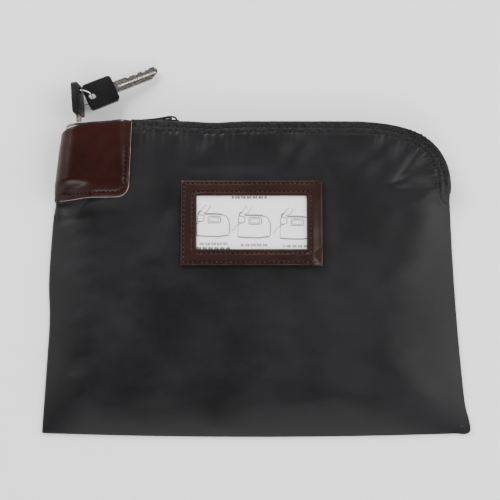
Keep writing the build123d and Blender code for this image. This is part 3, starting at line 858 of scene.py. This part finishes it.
def sheet_mesh(name, grid, keep, thick, material):
    """A cloth sheet with thickness from a grid, keeping only the wanted cells."""
    rows, columns = grid.shape[:2]
    faces = []
    for i in range(rows - 1):
        for j in range(columns - 1):
            if keep[i, j] or keep[i + 1, j + 1]:
                a = i * columns + j
                faces.append((a, a + columns, a + columns + 1, a + 1))
    used = np.unique(np.array(faces))
    new = np.full(rows * columns, -1)
    new[used] = np.arange(len(used))
    faces = [tuple(int(new[k]) for k in face) for face in faces]
    piece = mesh_piece(name, grid.reshape(-1, 3)[used], faces, "root", [material])
    solid = piece.modifiers.new("thickness", "SOLIDIFY")
    solid.thickness = thick * MM
    solid.offset = -1.0
    apply_modifiers(piece)
    piece.data.polygons.foreach_set("use_smooth", np.full(len(piece.data.polygons), True))
    return piece


def front_cloth():
    """The front panel's cloth, with its gathers, creases and turned seam edges."""
    rows, columns = ((250, 196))
    flat = inset_from_edge(patch_points(rows, columns), 0.35)
    x, y = flat[:, :, 0], flat[:, :, 1]
    z = tuck_under_cover(x, y, cloth_height(x, y))
    keep = ~under_lock(x, y)
    grid = np.stack([x, y, z], axis=2)
    piece = sheet_mesh("front_cloth", grid, keep, CLOTH_THICK, NYLON)
    mark_hem(piece)
    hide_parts("front_panel")


def back_cloth():
    """The back panel's cloth, which lies on its underside with shallow ripples near the seams."""
    rows, columns = ((150, 116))
    flat = patch_points(rows, columns)
    x, y = flat[:, :, 0], flat[:, :, 1]
    to_seam, _ = nearest(x, y, SEAM)
    away, _ = nearest(x, y, ZIPPER)
    edge = np.minimum(to_seam, away)
    ripple = 0.10 * np.maximum(0.0, 1 + noise_at(x, y, 16.0, 2.4)) * smooth(edge / 12.0)
    z = CLOTH_THICK + ripple + 0.75 * np.exp(-((edge / 1.6) ** 2))
    u, v = lock_xy(x, y)
    keep = ~((u < COVER_RIGHT) & (v > COVER_LOW - 0.5))
    grid = np.stack([x, y, z], axis=2)
    piece = sheet_mesh("back_cloth", grid, keep, CLOTH_THICK, NYLON)
    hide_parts("back_panel")


def path_frames(line):
    """Unit tangents and outward normals of a flat path that runs clockwise."""
    tangent = np.gradient(line, axis=0)
    tangent /= np.linalg.norm(tangent, axis=1, keepdims=True)
    return tangent, np.stack([-tangent[:, 1], tangent[:, 0]], axis=1)


def hem(name, side):
    """The folded edge of a panel along the zipper: over the top, down, and back under."""
    line = resample(zipper_line(), 420)
    _, out = path_frames(line)
    along = np.linspace(0, 1, len(line))
    if side > 0:
        edge = cloth_height(*(line - out * 1.7).T)
        lip = np.minimum(ZIP_Z + LIP_OVER + 0.15 * np.sin(along * 61.0), edge - 1.2)
    else:
        edge = np.full(len(line), 0.05)
        lip = np.full(len(line), ZIP_Z - LIP_UNDER) + 0.15 * np.sin(along * 57.0)
    wobble = 0.16 * noise_at(along * 300, along * 0, 5.0, 9.0)
    section = ((-1.7, 0.0), (-1.0, 0.02), (-0.45, 0.22), (-0.12, 0.6), (0.0, 1.2), (0.05, 2.1))
    rows = []
    for inset, drop in section:
        rows.append((inset + wobble * min(1, drop), edge - side * drop))
    rows.append((wobble * 0.6, mix(edge - side * 2.1, lip, 0.6)))
    rows.append((-0.15 + wobble * 0.4, lip + side * 0.25))
    rows.append((-0.6, lip))
    rows.append((-1.6, lip + side * 0.35))
    grid = np.zeros((len(line), len(rows), 3))
    for j, (inset, z) in enumerate(rows):
        grid[:, j, :2] = line + out * np.asarray(inset).reshape(-1, 1)
        grid[:, j, 2] = z
    if side < 0:
        grid = grid[:, ::-1]
    piece = thick_sheet(name, grid, 0.4, NYLON, NYLON, 0.0)
    mark_hem(piece)


def seam_welt():
    """The turned edge where the two panels are sewn together."""
    line = resample(seam_line(), 300)
    inward = -line / np.linalg.norm(line, axis=1, keepdims=True)
    path = np.column_stack([line + inward * 0.75, np.full(len(line), 1.12)])
    keep = ~((path[:, 0] < -100) & (path[:, 1] > 53.5))
    radius = 0.62 + 0.05 * np.sin(np.arange(len(path)) * 1.7)
    points, faces = tube_mesh(path[keep], radius[keep])
    piece = mesh_piece("seam_welt", points, faces, "root", [NYLON])


# ---------------------------------------------------------------- stitching
def stitch_row(path, pitch, length, radius, lift, first):
    """Lockstitches along a path: each dips into the material at both ends."""
    along = distances(path)
    parts = []
    for start in np.arange(first, along[-1] - length, pitch):
        at = np.linspace(start, start + length, 7)
        line = np.stack([np.interp(at, along, path[:, k]) for k in range(3)], axis=1)
        arch = np.sin(np.linspace(0, math.pi, 7))
        line[:, 2] += lift + radius * (1.3 * arch - 0.9)
        parts.append(tube_mesh(line, radius * (0.65 + 0.35 * arch), sides=6))
    return join_meshes(parts)


def stitches(name, paths, pitch, length, radius, material, lift=0.0, first=0.3):
    """One piece of thread for several rows of stitches."""
    points, faces = join_meshes([stitch_row(p, pitch, length, radius, lift, first) for p in paths])
    return mesh_piece(name, points, faces, "root", [material])


def leather_stitches(name, paths, pitch, radius):
    """Brown stitches, and a painted highlight in each gap between them: pale specks for the leather's glint
    there.
    """
    piece = stitches(f"{name}_stitching", paths, pitch, STITCH_LENGTH, radius, BROWN_THREAD, 0.02)
    # painted highlight: pale specks in the gaps between the brown stitches, for the leather's glint
    piece = stitches(f"{name}_stitch_glints", paths, pitch, 0.7, 0.22, GLINT_THREAD, 0.05, 2.6)


def zipper_stitching():
    """Two rows along the zipper's hem."""
    line = resample(zipper_line(-83.0), 400)
    _, out = path_frames(line)
    rows = []
    for inset in STITCH_ROWS:
        flat = line - out * inset
        rows.append(np.column_stack([flat, cloth_height(flat[:, 0], flat[:, 1])]))
    piece = stitches("zipper_stitching", rows, ZIP_STITCH_PITCH, STITCH_LENGTH, 0.26, BLACK_THREAD)


# ---------------------------------------------------------------- zipper
def coil_loop(base, tangent, out, side):
    """One loop of a coil, standing across the zipper's edge."""
    loop = []
    for a in np.linspace(0, 2 * math.pi, 13)[:-1]:
        rise = np.array((0, 0, side * (1.15 - 1.75 * math.cos(a))))
        reach = 0.72 * math.sin(a) - COIL_SINK
        loop.append(base + rise + out * reach + tangent * 0.38 * math.cos(a))
    return loop


def zipper_coils():
    """Two rows of meshed coil loops along the zipper."""
    line = resample(zipper_line(ZIP_LEFT_X, ZIP_END_Y), 900)
    tangent, out = path_frames(line)
    along = distances(line)
    for side, name in ((1, "front"), (-1, "back")):
        first = 0.4 + (side < 0) * COIL_PITCH / 2
        parts = []
        for start in np.arange(first, along[-1] - 1.2, COIL_PITCH):
            k = min(int(np.searchsorted(along, start)), len(line) - 1)
            base = np.append(line[k], ZIP_Z)
            loop = coil_loop(base, np.append(tangent[k], 0), np.append(out[k], 0), side)
            parts.append(tube_mesh(loop, COIL_WIRE_R, sides=6, closed=True))
        points, faces = join_meshes(parts)
        piece = mesh_piece(f"coil_{name}", points, faces, "root", [COIL])
        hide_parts(f"zip_coil_{name}")


def zipper_ends():
    """Crimped top stops and the moulded end piece."""
    parts = []
    for z in (ZIP_Z - 2.2, ZIP_Z + 2.2):
        outline = rounded_rectangle(1.0, 0.95, 0.4)
        parts.append(standing_prism(outline, -0.9, 0.55, (ZIP_LEFT_X - 1.2, TOP_Y, z)))
    points, faces = join_meshes(parts)
    piece = mesh_piece("top_stops", points, faces, "root", [ENAMEL])
    rounded(piece, 0.25)
    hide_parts("zip_top_stops")
    low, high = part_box("zip_bottom_stop")
    low, high = np.array(low) / MM, np.array(high) / MM
    half = (high - low) / 2
    points, faces = prism(rounded_rectangle(half[0] * 0.8, half[1], 0.7), -half[2], half[2])
    lean = math.radians(-4.0)
    turn = Matrix.Translation(tuple((low + high) / 2)) @ turned(lean, "Z")
    piece = mesh_piece("end_stop", placed(points, turn), faces, "root", [COIL])
    rounded(piece, 0.3)
    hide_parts("zip_bottom_stop")


def slider():
    """The slider: two tapered plates, a neck and a crown bent from one strap."""
    low, high = (np.array(c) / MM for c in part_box("slider_body"))
    x0, x1 = low[0], high[0]
    outer_y = TOP_Y + SLIDER_OUT
    plate = []
    for t in np.linspace(0, 1, 9):
        plate.append((mix(x0, x1, t), SLIDER_HALF * (0.80 + 0.20 * math.cos(math.pi * (t - 0.25)))))
    outline = [(x, w) for x, w in plate] + [(x, -w) for x, w in reversed(plate)]
    parts = []
    for y_low, y_high, shrink in ((outer_y, outer_y + 1.2, 1.0), (low[1], low[1] + 1.0, 0.72)):
        flat = [(x, w * shrink) for x, w in outline]
        parts.append(standing_prism(flat, y_low, y_high, (0, 0, ZIP_Z)))
    neck = rectangle((x0 + 0.8, 103.0), (x0 + 4.0, outer_y + 0.3))
    parts.append(prism(neck, ZIP_Z - 0.15, ZIP_Z + 0.15))
    points, faces = join_meshes(parts)
    piece = mesh_piece("slider_plates", points, faces, "slider", [ENAMEL])
    rounded(piece, 0.32)
    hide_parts("slider_body")
    top = outer_y + 1.0
    arch = ((1.4, 0), (1.5, 1.7), (2.4, 2.9), (4.2, 3.3), (7.0, 3.3), (8.9, 2.8), (9.8, 1.6), (9.9, 0))
    path = resample([(x0 + x, top + y, ZIP_Z) for x, y in arch], 26)
    points, faces = tube_mesh(path, CROWN_R, sides=10)
    points[:, 2] = ZIP_Z + (points[:, 2] - ZIP_Z) * 1.7
    crown = mesh_piece("slider_crown", points, faces, "slider", [ENAMEL])


def pull():
    """The flat pull: an eye round the crown, a waisted tongue and the hole for the lock's pin."""
    place = Matrix.Translation(PIVOT) @ turned(PULL_LEAN, "Z")
    edge = ((0.9, 2.6), (0.9, 3.4), (-0.6, PULL_HALF), (-6.0, PULL_HALF), (-8.5, 3.1), (-12.0, 2.9),
            (-16.5, 3.3), (PULL_END, PULL_HALF))
    tip = []
    for a in np.linspace(0.15, math.pi - 0.15, 9):
        tip.append((PULL_END - 2.5 * math.sin(a), PULL_HALF * math.cos(a)))
    outline = [*edge, *tip, *((x, -half) for x, half in reversed(edge))]
    eye = [(-0.75, -1.75), (-5.2, -1.75), (-5.2, 1.75), (-0.75, 1.75)]
    holes = [eye, circle((PIN_HOLE_X, 0), PIN_HOLE_R, 16)]
    piece = plate_with_holes("pull_plate", outline, holes, PULL_THICK, place, "pull", ENAMEL)
    rounded(piece, 0.22)
    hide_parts("zip_pull")


def plate_with_holes(name, outline, holes, thick, place, body, material):
    """A flat plate in X-Z with holes, standing on its middle, as one closed mesh."""
    curve = bpy.data.curves.new(name, "CURVE")
    curve.dimensions = "2D"
    curve.fill_mode = "BOTH"
    curve.extrude = thick / 2 * MM
    for loop in [outline] + holes:
        spline = curve.splines.new("POLY")
        spline.points.add(len(loop) - 1)
        for point, (x, z) in zip(spline.points, loop):
            point.co = (x * MM, z * MM, 0, 1)
        spline.use_cyclic_u = True
    holder = bpy.data.objects.new(name + "_outline", curve)
    bpy.context.scene.collection.objects.link(holder)
    bpy.context.view_layer.update()
    mesh = bpy.data.meshes.new_from_object(holder.evaluated_get(bpy.context.evaluated_depsgraph_get()))
    bpy.data.objects.remove(holder)
    points = np.array([v.co for v in mesh.vertices])[:, [0, 2, 1]] / MM
    faces = [tuple(reversed(p.vertices)) for p in mesh.polygons]
    piece = mesh_piece(name, placed(points, place), faces, body, [material], smooth_shaded=False)
    weld(piece)
    return piece


def weld(piece):
    """Joins points that lie on each other and turns every face outward."""
    work = bmesh.new()
    work.from_mesh(piece.data)
    bmesh.ops.remove_doubles(work, verts=work.verts, dist=0.01 * MM)
    bmesh.ops.recalc_face_normals(work, faces=work.faces)
    work.to_mesh(piece.data)
    work.free()


# ---------------------------------------------------------------- lock cover
def cover_ends(y):
    """Left and right ends of the cover across the lock at each place along it."""
    t = np.clip((y - COVER_LOW) / (COVER_TOP - COVER_LOW), 0, 1)
    left = mix(COVER_LEFT - COVER_SHEAR_LEFT, COVER_LEFT, t)
    inside = np.clip(COVER_LOW + COVER_CORNER_R - y, 0, COVER_CORNER_R)
    right = COVER_RIGHT - COVER_CORNER_R + np.sqrt(COVER_CORNER_R**2 - inside**2)
    return left, right - COVER_SHEAR_RIGHT * (1 - t)


def fold_radius(y):
    """Half the cover's thickness at its left fold."""
    return mix(3.0, COVER_R, smooth((y - COVER_LOW + 3.0) / 16.0))


def cover_slant(u, y):
    """How far the cover's top and bottom edges lean away from square, along the lock."""
    across = np.clip((u - COVER_LEFT) / (COVER_RIGHT - COVER_LEFT), -0.2, 1)
    lower = np.clip((COVER_TOP - y) / (COVER_TOP - COVER_LOW), 0, 1)
    return lower**2 * mix(1.9, -1.3, across) + (1 - lower) ** 2 * mix(-0.9, 0.4, across)


def cover_front(u, y):
    """The cover's outer surface in the lock's frame, from its left fold to its right edge."""
    bx, by = bag_xy(u, y)
    left, _ = cover_ends(y)
    radius = fold_radius(y)
    over = cloth_height(bx, by) - LOCK_AT[2] + COVER_THICK + 0.12
    past = np.clip(left + radius - u, 0, None)
    fold = -COVER_R + radius + np.sqrt(np.clip(radius**2 - past**2, 0, None))
    return mix(fold, over, smooth((u - left - radius + 2.0) / 25.0))


def tuck_under_cover(x, y, height):
    """Keeps the cloth just below the leather, and for a little way past its bottom edge."""
    u, down = lock_xy(x, y)
    v = np.clip(down, COVER_LOW, COVER_TOP)
    left, right = cover_ends(v)
    below = LOCK_AT[2] + cover_front(u, v - cover_slant(u, v)) - COVER_THICK - 0.35
    across = smooth((np.minimum(u - left, right - u) + 3.0) / 3.0)
    along = smooth((down - COVER_LOW + TUCK_REACH) / (TUCK_REACH - 2.0))
    return mix(height, np.minimum(height, below), across * along)


def cover_row(s, y):
    """One row of the cover across the lock: along the back, round the left fold, over the front."""
    left, right = (float(v) for v in cover_ends(np.array(y)))
    radius = float(fold_radius(y))
    back = s < BACK_SHARE
    front = s >= BACK_SHARE + FOLD_SHARE
    fold = ~back & ~front
    angle = math.pi * (s[fold] - BACK_SHARE) / FOLD_SHARE
    u, z = np.zeros(len(s)), np.zeros(len(s))
    u[back] = mix(right, left + radius, s[back] / BACK_SHARE)
    z[back] = -COVER_R + 0.03
    u[fold] = left + radius - radius * np.sin(angle)
    z[fold] = -COVER_R + radius - radius * np.cos(angle)
    u[front] = mix(left + radius, right, (s[front] - (BACK_SHARE + FOLD_SHARE)) / FRONT_SHARE)
    z[front] = cover_front(u[front], np.full(front.sum(), y))
    top_dip = 2.4 * np.exp(-(((s - 0.42) / 0.075) ** 2)) * smooth((y - COVER_TOP + 16) / 16)
    return np.stack([u, y + cover_slant(u, y) - top_dip, z], axis=1)


def lock_cover():
    """The leatherette cover: back, left fold and front in one wrapped sheet."""
    low_rows = np.linspace(COVER_LOW, COVER_LOW + 15, 34)
    high_rows = np.linspace(COVER_LOW + 16, COVER_TOP, 40)
    s = np.linspace(0, 1, 110)
    grid = np.array([cover_row(s, y) for y in (*low_rows, *high_rows)])
    soften = 0.10 * noise_at(grid[:, :, 0], grid[:, :, 1] + 3 * grid[:, :, 2], 9.0, 4.0)
    soften[[0, -1], :] = 0
    n = grid_normals(grid)
    facing = np.sign(n[len(grid) // 2, 90, 2])
    grid += n * (soften * smooth((s - 0.3) / 0.1))[:, :, None]
    grid += n * facing * stitch_sink(grid)[:, :, None]
    flat = placed(grid.reshape(-1, 3), lock_place()).reshape(grid.shape)
    if facing < 0:
        flat = flat[:, ::-1]
    piece = thick_sheet("cover_leather", flat, COVER_THICK, LEATHER, CUT_EDGE, 0.25)
    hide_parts("lock_cover")
    row = cover_line(COVER_STITCH_INSET, COVER_STITCH_START, 260, 0.12)
    leather_stitches("cover", [row], COVER_STITCH_PITCH, 0.24)
    cover_raw_edge()


def cover_line(inset, start, count, sink):
    """A line on the cover's front, inside its edge and a little below its surface."""
    path = resample(stitch_path(inset, start), count)
    z = cover_front(path[:, 0], path[:, 1]) - sink
    path[:, 1] += cover_slant(path[:, 0], path[:, 1])
    return placed(np.column_stack([path, z]), lock_place())


def stitch_path(inset, start):
    """A line inside the cover's edge: down the right side, round the corner, along the bottom."""
    y = np.linspace(start, COVER_LOW + COVER_CORNER_R, 60)
    _, right = cover_ends(y)
    down = np.stack([right - inset, y], axis=1)
    centre = np.array((down[-1, 0] - (COVER_CORNER_R - inset), COVER_LOW + COVER_CORNER_R))
    a = np.linspace(0, -math.pi / 2, 16)[1:]
    turn = centre + (COVER_CORNER_R - inset) * np.stack([np.cos(a), np.sin(a)], axis=1)
    x = np.linspace(turn[-1, 0], COVER_LEFT - COVER_SHEAR_LEFT + 4.0, 50)[1:]
    along = np.stack([x, np.full(len(x), COVER_LOW + inset)], axis=1)
    return np.concatenate([down, turn, along])


def stitch_sink(grid):
    """The shallow channel that the cover's stitching presses into the leather, below 0."""
    path = resample(stitch_path(COVER_STITCH_INSET, COVER_STITCH_START), 90)
    path[:, 1] += cover_slant(path[:, 0], path[:, 1])
    away, _ = nearest(grid[:, :, 0], grid[:, :, 1], path)
    front = grid[:, :, 2] > -6.0
    return -0.22 * np.exp(-((away / 0.8) ** 2)) * front


def cover_raw_edge():
    """The pale cut edge of the leather, down the right side, round the corner and along the bottom."""
    line = cover_line(0.15, COVER_TOP - 0.5, 220, 0.62)
    radius = 0.34 + 0.05 * noise_at(line[:, 0], line[:, 1], 3.0, 1.7)
    points, faces = tube_mesh(line, radius)
    piece = mesh_piece("cover_raw_edge", points, faces, "root", [CUT_EDGE])


# ---------------------------------------------------------------- card window
def ring_corner(low, high, radius, count):
    """Places round a rectangle with small round corners, count to a side, from its lower left."""
    corners = np.array(rectangle(low, high))
    points = []
    for a, b in zip(corners, np.roll(corners, -1, axis=0)):
        length = np.linalg.norm(b - a)
        d = (b - a) / length
        side = np.array((-d[1], d[0]))
        for k in range(count):
            s = k / count
            end = min(s * length, (1 - s) * length)
            ease = max(0.0, 1 - end / radius)
            points.append(a + (b - a) * s + side * radius * 0.29 * ease**2)
    return np.array(points)


def frame_lift(x, y):
    """How far the frame's right and lower strips puff up, most of all toward the lower right corner."""
    right = np.exp(-(((x - FRAME_HIGH[0] + 7.5) / 4.2) ** 2)) * smooth((FRAME_HIGH[1] - y) / 40.0)
    low = np.exp(-(((y - FRAME_LOW[1] - 6.5) / 3.8) ** 2)) * smooth((x - FRAME_LOW[0] - 30.0) / 50.0)
    return FRAME_PUFF * np.maximum(right, 0.8 * low)


def window_frame():
    """The leatherette frame: a mitred flat ring, puffed between its stitch rows."""
    inner = ring_corner(WINDOW_LOW, WINDOW_HIGH, 0.6, 72)
    outer = ring_corner(FRAME_LOW, FRAME_HIGH, 1.6, 72)
    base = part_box("window_frame")[1][2] / MM
    grid = np.full((len(inner), 26, 3), base - 0.25)
    for j, t in enumerate(np.linspace(0, 1, 26)):
        grid[:, j, :2] = mix(inner, outer, t)
    x, y = grid[:, :, 0], grid[:, :, 1]
    inside, _ = nearest(x, y, closed(inner))
    outside, _ = nearest(x, y, closed(outer))
    open_side = smooth((x - (WINDOW_HIGH[0] + 3.0)) / 2.0)
    grid[:, :, 2] -= 0.30 * np.exp(-(((inside - FRAME_STITCH_IN) / 0.7) ** 2))
    grid[:, :, 2] -= 0.30 * np.exp(-(((outside - FRAME_STITCH_OUT) / 0.7) ** 2)) * (1 - open_side)
    grid[:, :, 2] -= 0.45 * np.exp(-((outside / 0.8) ** 2)) * (1 - 0.7 * open_side)
    grid[:, :, 2] -= 0.30 * np.exp(-((inside / 0.6) ** 2))
    grid[:, :, 2] += 0.12 * noise_at(x, y, 9.0, 6.0) * smooth(inside / 3) * smooth(outside / 3)
    grid[:, :, 2] += frame_lift(x, y)
    piece = thick_sheet("frame_leather", grid[::-1], FRAME_THICK, FRAME_LEATHER, CUT_EDGE, 0.2, True)
    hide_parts("window_frame")
    stitch_frame(base - 0.42)


def closed(loop):
    """A loop's points with the first one again at the end."""
    return np.concatenate([loop, loop[:1]])


def stitch_frame(level):
    """An inner row all round and an outer row on the three sewn sides."""
    gap, edge = FRAME_STITCH_IN, FRAME_STITCH_OUT
    inner = rectangle(np.array(WINDOW_LOW) - gap, np.array(WINDOW_HIGH) + gap)
    right, left = FRAME_HIGH[0] - 0.8, FRAME_LOW[0] + edge
    low, high = FRAME_LOW[1] + edge, FRAME_HIGH[1] - edge
    outer = [(right, low), (left, low), (left, high), (right, high)]
    rows = []
    for corners, count in ((closed(inner), 320), (outer, 300)):
        flat = resample(corners, count)
        rows.append(np.column_stack([flat, level + frame_lift(flat[:, 0], flat[:, 1])]))
    leather_stitches("frame", rows, FRAME_STITCH_PITCH, 0.26)


def card():
    """The card with its printed panels: three plain drawings of a pouch and bars for text."""
    low, high = (np.array(c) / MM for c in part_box("insert_card"))
    middle, half = (low + high) / 2, (high - low) / 2
    points, faces = prism(rounded_rectangle(half[0], half[1], 1.2), low[2], high[2])
    points[:, :2] += middle[:2]
    piece = mesh_piece("card_sheet", points, faces, "card", [CARD], smooth_shaded=False)
    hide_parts("insert_card")
    drawn = []
    for n, centre in enumerate((-28.4, -1.0, 27.2)):
        drawn += pouch_drawing(centre, 34.6 - 0.9 * n)
        drawn += [(line, 0.62) for line in text_line(centre - 9.0, centre + 9.6, 21.9 - 0.8 * n, n)]
    drawn += [(line, 0.80) for line in text_line(-39.4, -17.0, 18.9, 5)]
    drawn += [(line, 0.80) for line in text_line(-16.0, 7.0, 53.7, 7)]
    points, faces = join_meshes([ribbon(path, high[2] + 0.02, width) for path, width in drawn])
    ink = mesh_piece("card_print", points, faces, "card", [INK], smooth_shaded=False)


def ribbon(path, z, width):
    """A flat printed line."""
    path = np.asarray(path, float)
    tangent = np.gradient(path, axis=0)
    tangent /= np.maximum(np.linalg.norm(tangent, axis=1, keepdims=True), 1e-6)
    side = np.stack([-tangent[:, 1], tangent[:, 0]], axis=1) * width / 2
    both = np.stack([path - side, path + side], axis=1)
    grid = np.concatenate([both, np.full((len(path), 2, 1), z)], axis=2)
    return grid.reshape(-1, 3), grid_faces(len(path), 2)


def pouch_drawing(cx, cy):
    """A plain line drawing of a pouch: its outline, zipper, lock, window and a hand below the lock."""
    lines = (
        (1.25, [(-6.4, 7.8), (2.4, 7.8), (5.6, 7.4)]),
        (0.70, [(5.6, 7.4), (8.6, 6.2), (10.4, 2.4), (10.8, -1.0), (10.2, -6.4)]),
        (1.00, [(-11.2, -7.0), (-6.0, -7.5), (3.0, -7.7), (10.0, -6.8)]),
        (0.42, [(-11.2, -7.0), (-11.0, 2.6)]),
        (0.62, [(-11.0, 2.6), (-6.6, 2.8), (-6.5, 7.0), (-10.6, 7.1), (-11.0, 2.6)]),
        (0.66, [(-3.8, 1.6), (4.6, 1.6), (4.6, 6.2), (-3.8, 6.2), (-3.8, 1.6)]),
        (0.50, [(-2.6, 2.5), (3.4, 2.5), (3.4, 5.3), (-2.6, 5.3), (-2.6, 2.5)]),
        (1.00, [(-10.4, 7.2), (-9.8, 9.6), (-8.2, 10.0)]),
        (0.50, [(-9.4, 8.6), (-6.6, 12.6), (-5.0, 14.0)]),
        (0.50, [(-7.2, 8.2), (-4.2, 9.6), (-2.0, 13.4)]),
        (0.50, [(-15.4, -3.6), (-12.8, 0.4), (-8.0, 3.0)]),
    )
    return [(resample(np.array(line) + (cx, cy), 16), width) for width, line in lines]


def text_line(start, end, y, seed):
    """Upright dashes of uneven height, in groups, that stand in for a line of print."""
    dashes, x, n = [], start, seed
    while x < end:
        n += 1
        tall = 0.80 + 0.30 * math.sin(n * 2.4 + seed)
        if n % 5:
            dashes.append(np.array([(x, y - tall), (x, y), (x, y + tall)]))
        x += 0.78
    return dashes


# ---------------------------------------------------------------- keys
def ring_centre():
    """The ring's middle in the upright key's frame: it hangs down from RING_TOP, tilted."""
    down = math.sqrt(RING_R**2 - RING_SHIFT**2)
    y = RING_TOP[0] - down * math.sin(RING_TILT)
    return Vector((RING_SHIFT, y, RING_TOP[1] - down * math.cos(RING_TILT)))


def spare_place():
    """The spare key's frame: its hole is on the ring's far side, and its blade points right."""
    hole = key_place() @ (ring_centre() + Vector((RING_R, 0, 0)))
    turn = turned(SPARE_TURN, "Z") @ turned(SPARE_DROOP, "Y")
    lay = turned(math.pi / 2, "Z") @ turned(math.pi / 2, "Y")
    return Matrix.Translation(hole) @ turn @ lay @ Matrix.Translation((0, -HOLE_Y, 0))


def key_bow(name, place, body, node):
    """A moulded square bow with a round hole and soft edges."""
    middle = (BOW_NEAR + BOW_FAR) / 2
    square = rounded_rectangle(BOW_HALF, (BOW_FAR - BOW_NEAR) / 2, BOW_CORNER_R, 8)
    outline = [(z, y + middle) for z, y in square]
    hole = circle((0, HOLE_Y), HOLE_R, 28)
    swap = Matrix(((0, 1, 0, 0), (0, 0, 1, 0), (1, 0, 0, 0), (0, 0, 0, 1)))
    piece = plate_with_holes(name, outline, [hole], BOW_THICK, place @ swap, body, BOW)
    rounded(piece, 0.7, segments=4)
    shade_smooth(piece)
    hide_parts(node)


def shade_smooth(piece):
    """Smooth shading except over sharp edges."""
    piece.data.polygons.foreach_set("use_smooth", np.full(len(piece.data.polygons), True))
    piece.data.set_sharp_from_angle(angle=math.radians(40.0))


def split_ring():
    """A split ring: nearly two turns of wire, side by side."""
    place = key_place() @ Matrix.Translation(ring_centre()) @ turned(math.pi / 2 - RING_TILT, "X")
    turns = np.linspace(0.12, 4 * math.pi - 0.12, 150)
    rise = WIRE_R * np.tanh((turns - 2 * math.pi) / 0.5)
    path = np.stack([RING_R * np.cos(turns + 1.9), RING_R * np.sin(turns + 1.9), rise], axis=1)
    points, faces = tube_mesh(placed(path, place), WIRE_R)
    piece = mesh_piece("split_ring", points, faces, "ring", [RING_METAL])
    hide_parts("key_ring")


def spare_groove_highlight():
    """A painted highlight: a bright metal strip along the bottom of the spare key's groove, with fine
    milled steps along its middle.
    """
    y = np.linspace(BLADE_TIP + 1.6, BOW_NEAR - 2.6, 170)
    steps = np.sin(y * 2 * math.pi / 1.4) * smooth((y + 15.0) / 2.0) * smooth((2.0 - y) / 2.0)
    path = np.column_stack([np.full(len(y), -0.5), y, np.full(len(y), GROOVE_Z)])
    points, faces = tube_mesh(placed(path, spare_place()), 0.44 + 0.30 * steps, sides=10)
    piece = mesh_piece("spare_groove_highlight", points, faces, "spare", [GROOVE_HIGHLIGHT_METAL])


def keys():
    """Both bows, the painted highlight in the spare blade's groove and the ring. The blades are CAD nodes.
    """
    key_bow("bow_in_lock", key_place(), "key", "key_bow")
    key_bow("bow_spare", spare_place(), "spare", "spare_bow")
    spare_groove_highlight()
    split_ring()


# ---------------------------------------------------------------- studio
def area_light(name, at, toward, size, power):
    """A soft rectangular light that faces its target."""
    light = bpy.data.lights.new(name, "AREA")
    light.shape = "RECTANGLE"
    light.size, light.size_y = size
    light.energy = power
    holder = bpy.data.objects.new(name, light)
    holder.location = at
    holder.rotation_euler = (Vector(toward) - Vector(at)).to_track_quat("-Z", "Y").to_euler()
    bpy.context.scene.collection.objects.link(holder)


def studio():
    """A pale floor, a pale world and large soft lights."""
    size = 3.0
    floor = bpy.data.meshes.new("studio_floor")
    corners = [(x, y, 0) for x, y in rectangle((-size, -size), (size, size))]
    floor.from_pydata(corners, [], [(0, 1, 2, 3)])
    floor.materials.append(FLOOR)
    stage = bpy.data.objects.new("studio_floor", floor)
    bpy.context.scene.collection.objects.link(stage)
    studio_world()
    for light in LIGHTS:
        area_light(*light)


def studio_world():
    """Pale surroundings that are bright to the sides and dimmer overhead."""
    world = bpy.data.worlds.new("studio")
    world.use_nodes = True
    tree = world.node_tree
    place = tree.nodes.new("ShaderNodeTexCoord")
    split = tree.nodes.new("ShaderNodeSeparateXYZ")
    level = tree.nodes.new("ShaderNodeMapRange")
    for name, value in (("From Min", 0.35), ("From Max", 0.92), ("To Min", 1.35), ("To Max", 0.14)):
        level.inputs[name].default_value = value
    tree.links.new(place.outputs["Generated"], split.inputs["Vector"])
    tree.links.new(split.outputs["Z"], level.inputs["Value"])
    tree.links.new(level.outputs["Result"], tree.nodes["Background"].inputs["Strength"])
    tree.nodes["Background"].inputs["Color"].default_value = (1, 1, 1, 1)
    bpy.context.scene.world = world


def camera():
    """Nearly straight down on the front panel, from a little below its bottom seam."""
    back = Vector((0, -math.sin(VIEW_TILT), math.cos(VIEW_TILT)))
    lens = bpy.data.cameras.new("camera")
    lens.sensor_width = 36.0
    lens.lens = lens.sensor_width * VIEW_DISTANCE / VIEW_WIDTH
    view = bpy.data.objects.new("camera", lens)
    view.location = Vector(VIEW_TARGET) + back * VIEW_DISTANCE
    view.rotation_euler = (VIEW_TILT, 0, 0)
    bpy.context.scene.collection.objects.link(view)
    bpy.context.scene.camera = view


def main():
    """Build the whole scene: the view and lights first, then the bag piece by piece."""
    camera()
    studio()
    paint_nodes()
    front_cloth()
    back_cloth()
    hem("hem_front", 1)
    hem("hem_back", -1)
    seam_welt()
    zipper_stitching()
    zipper_coils()
    zipper_ends()
    slider()
    pull()
    lock_cover()
    window_frame()
    card()
    keys()


main()
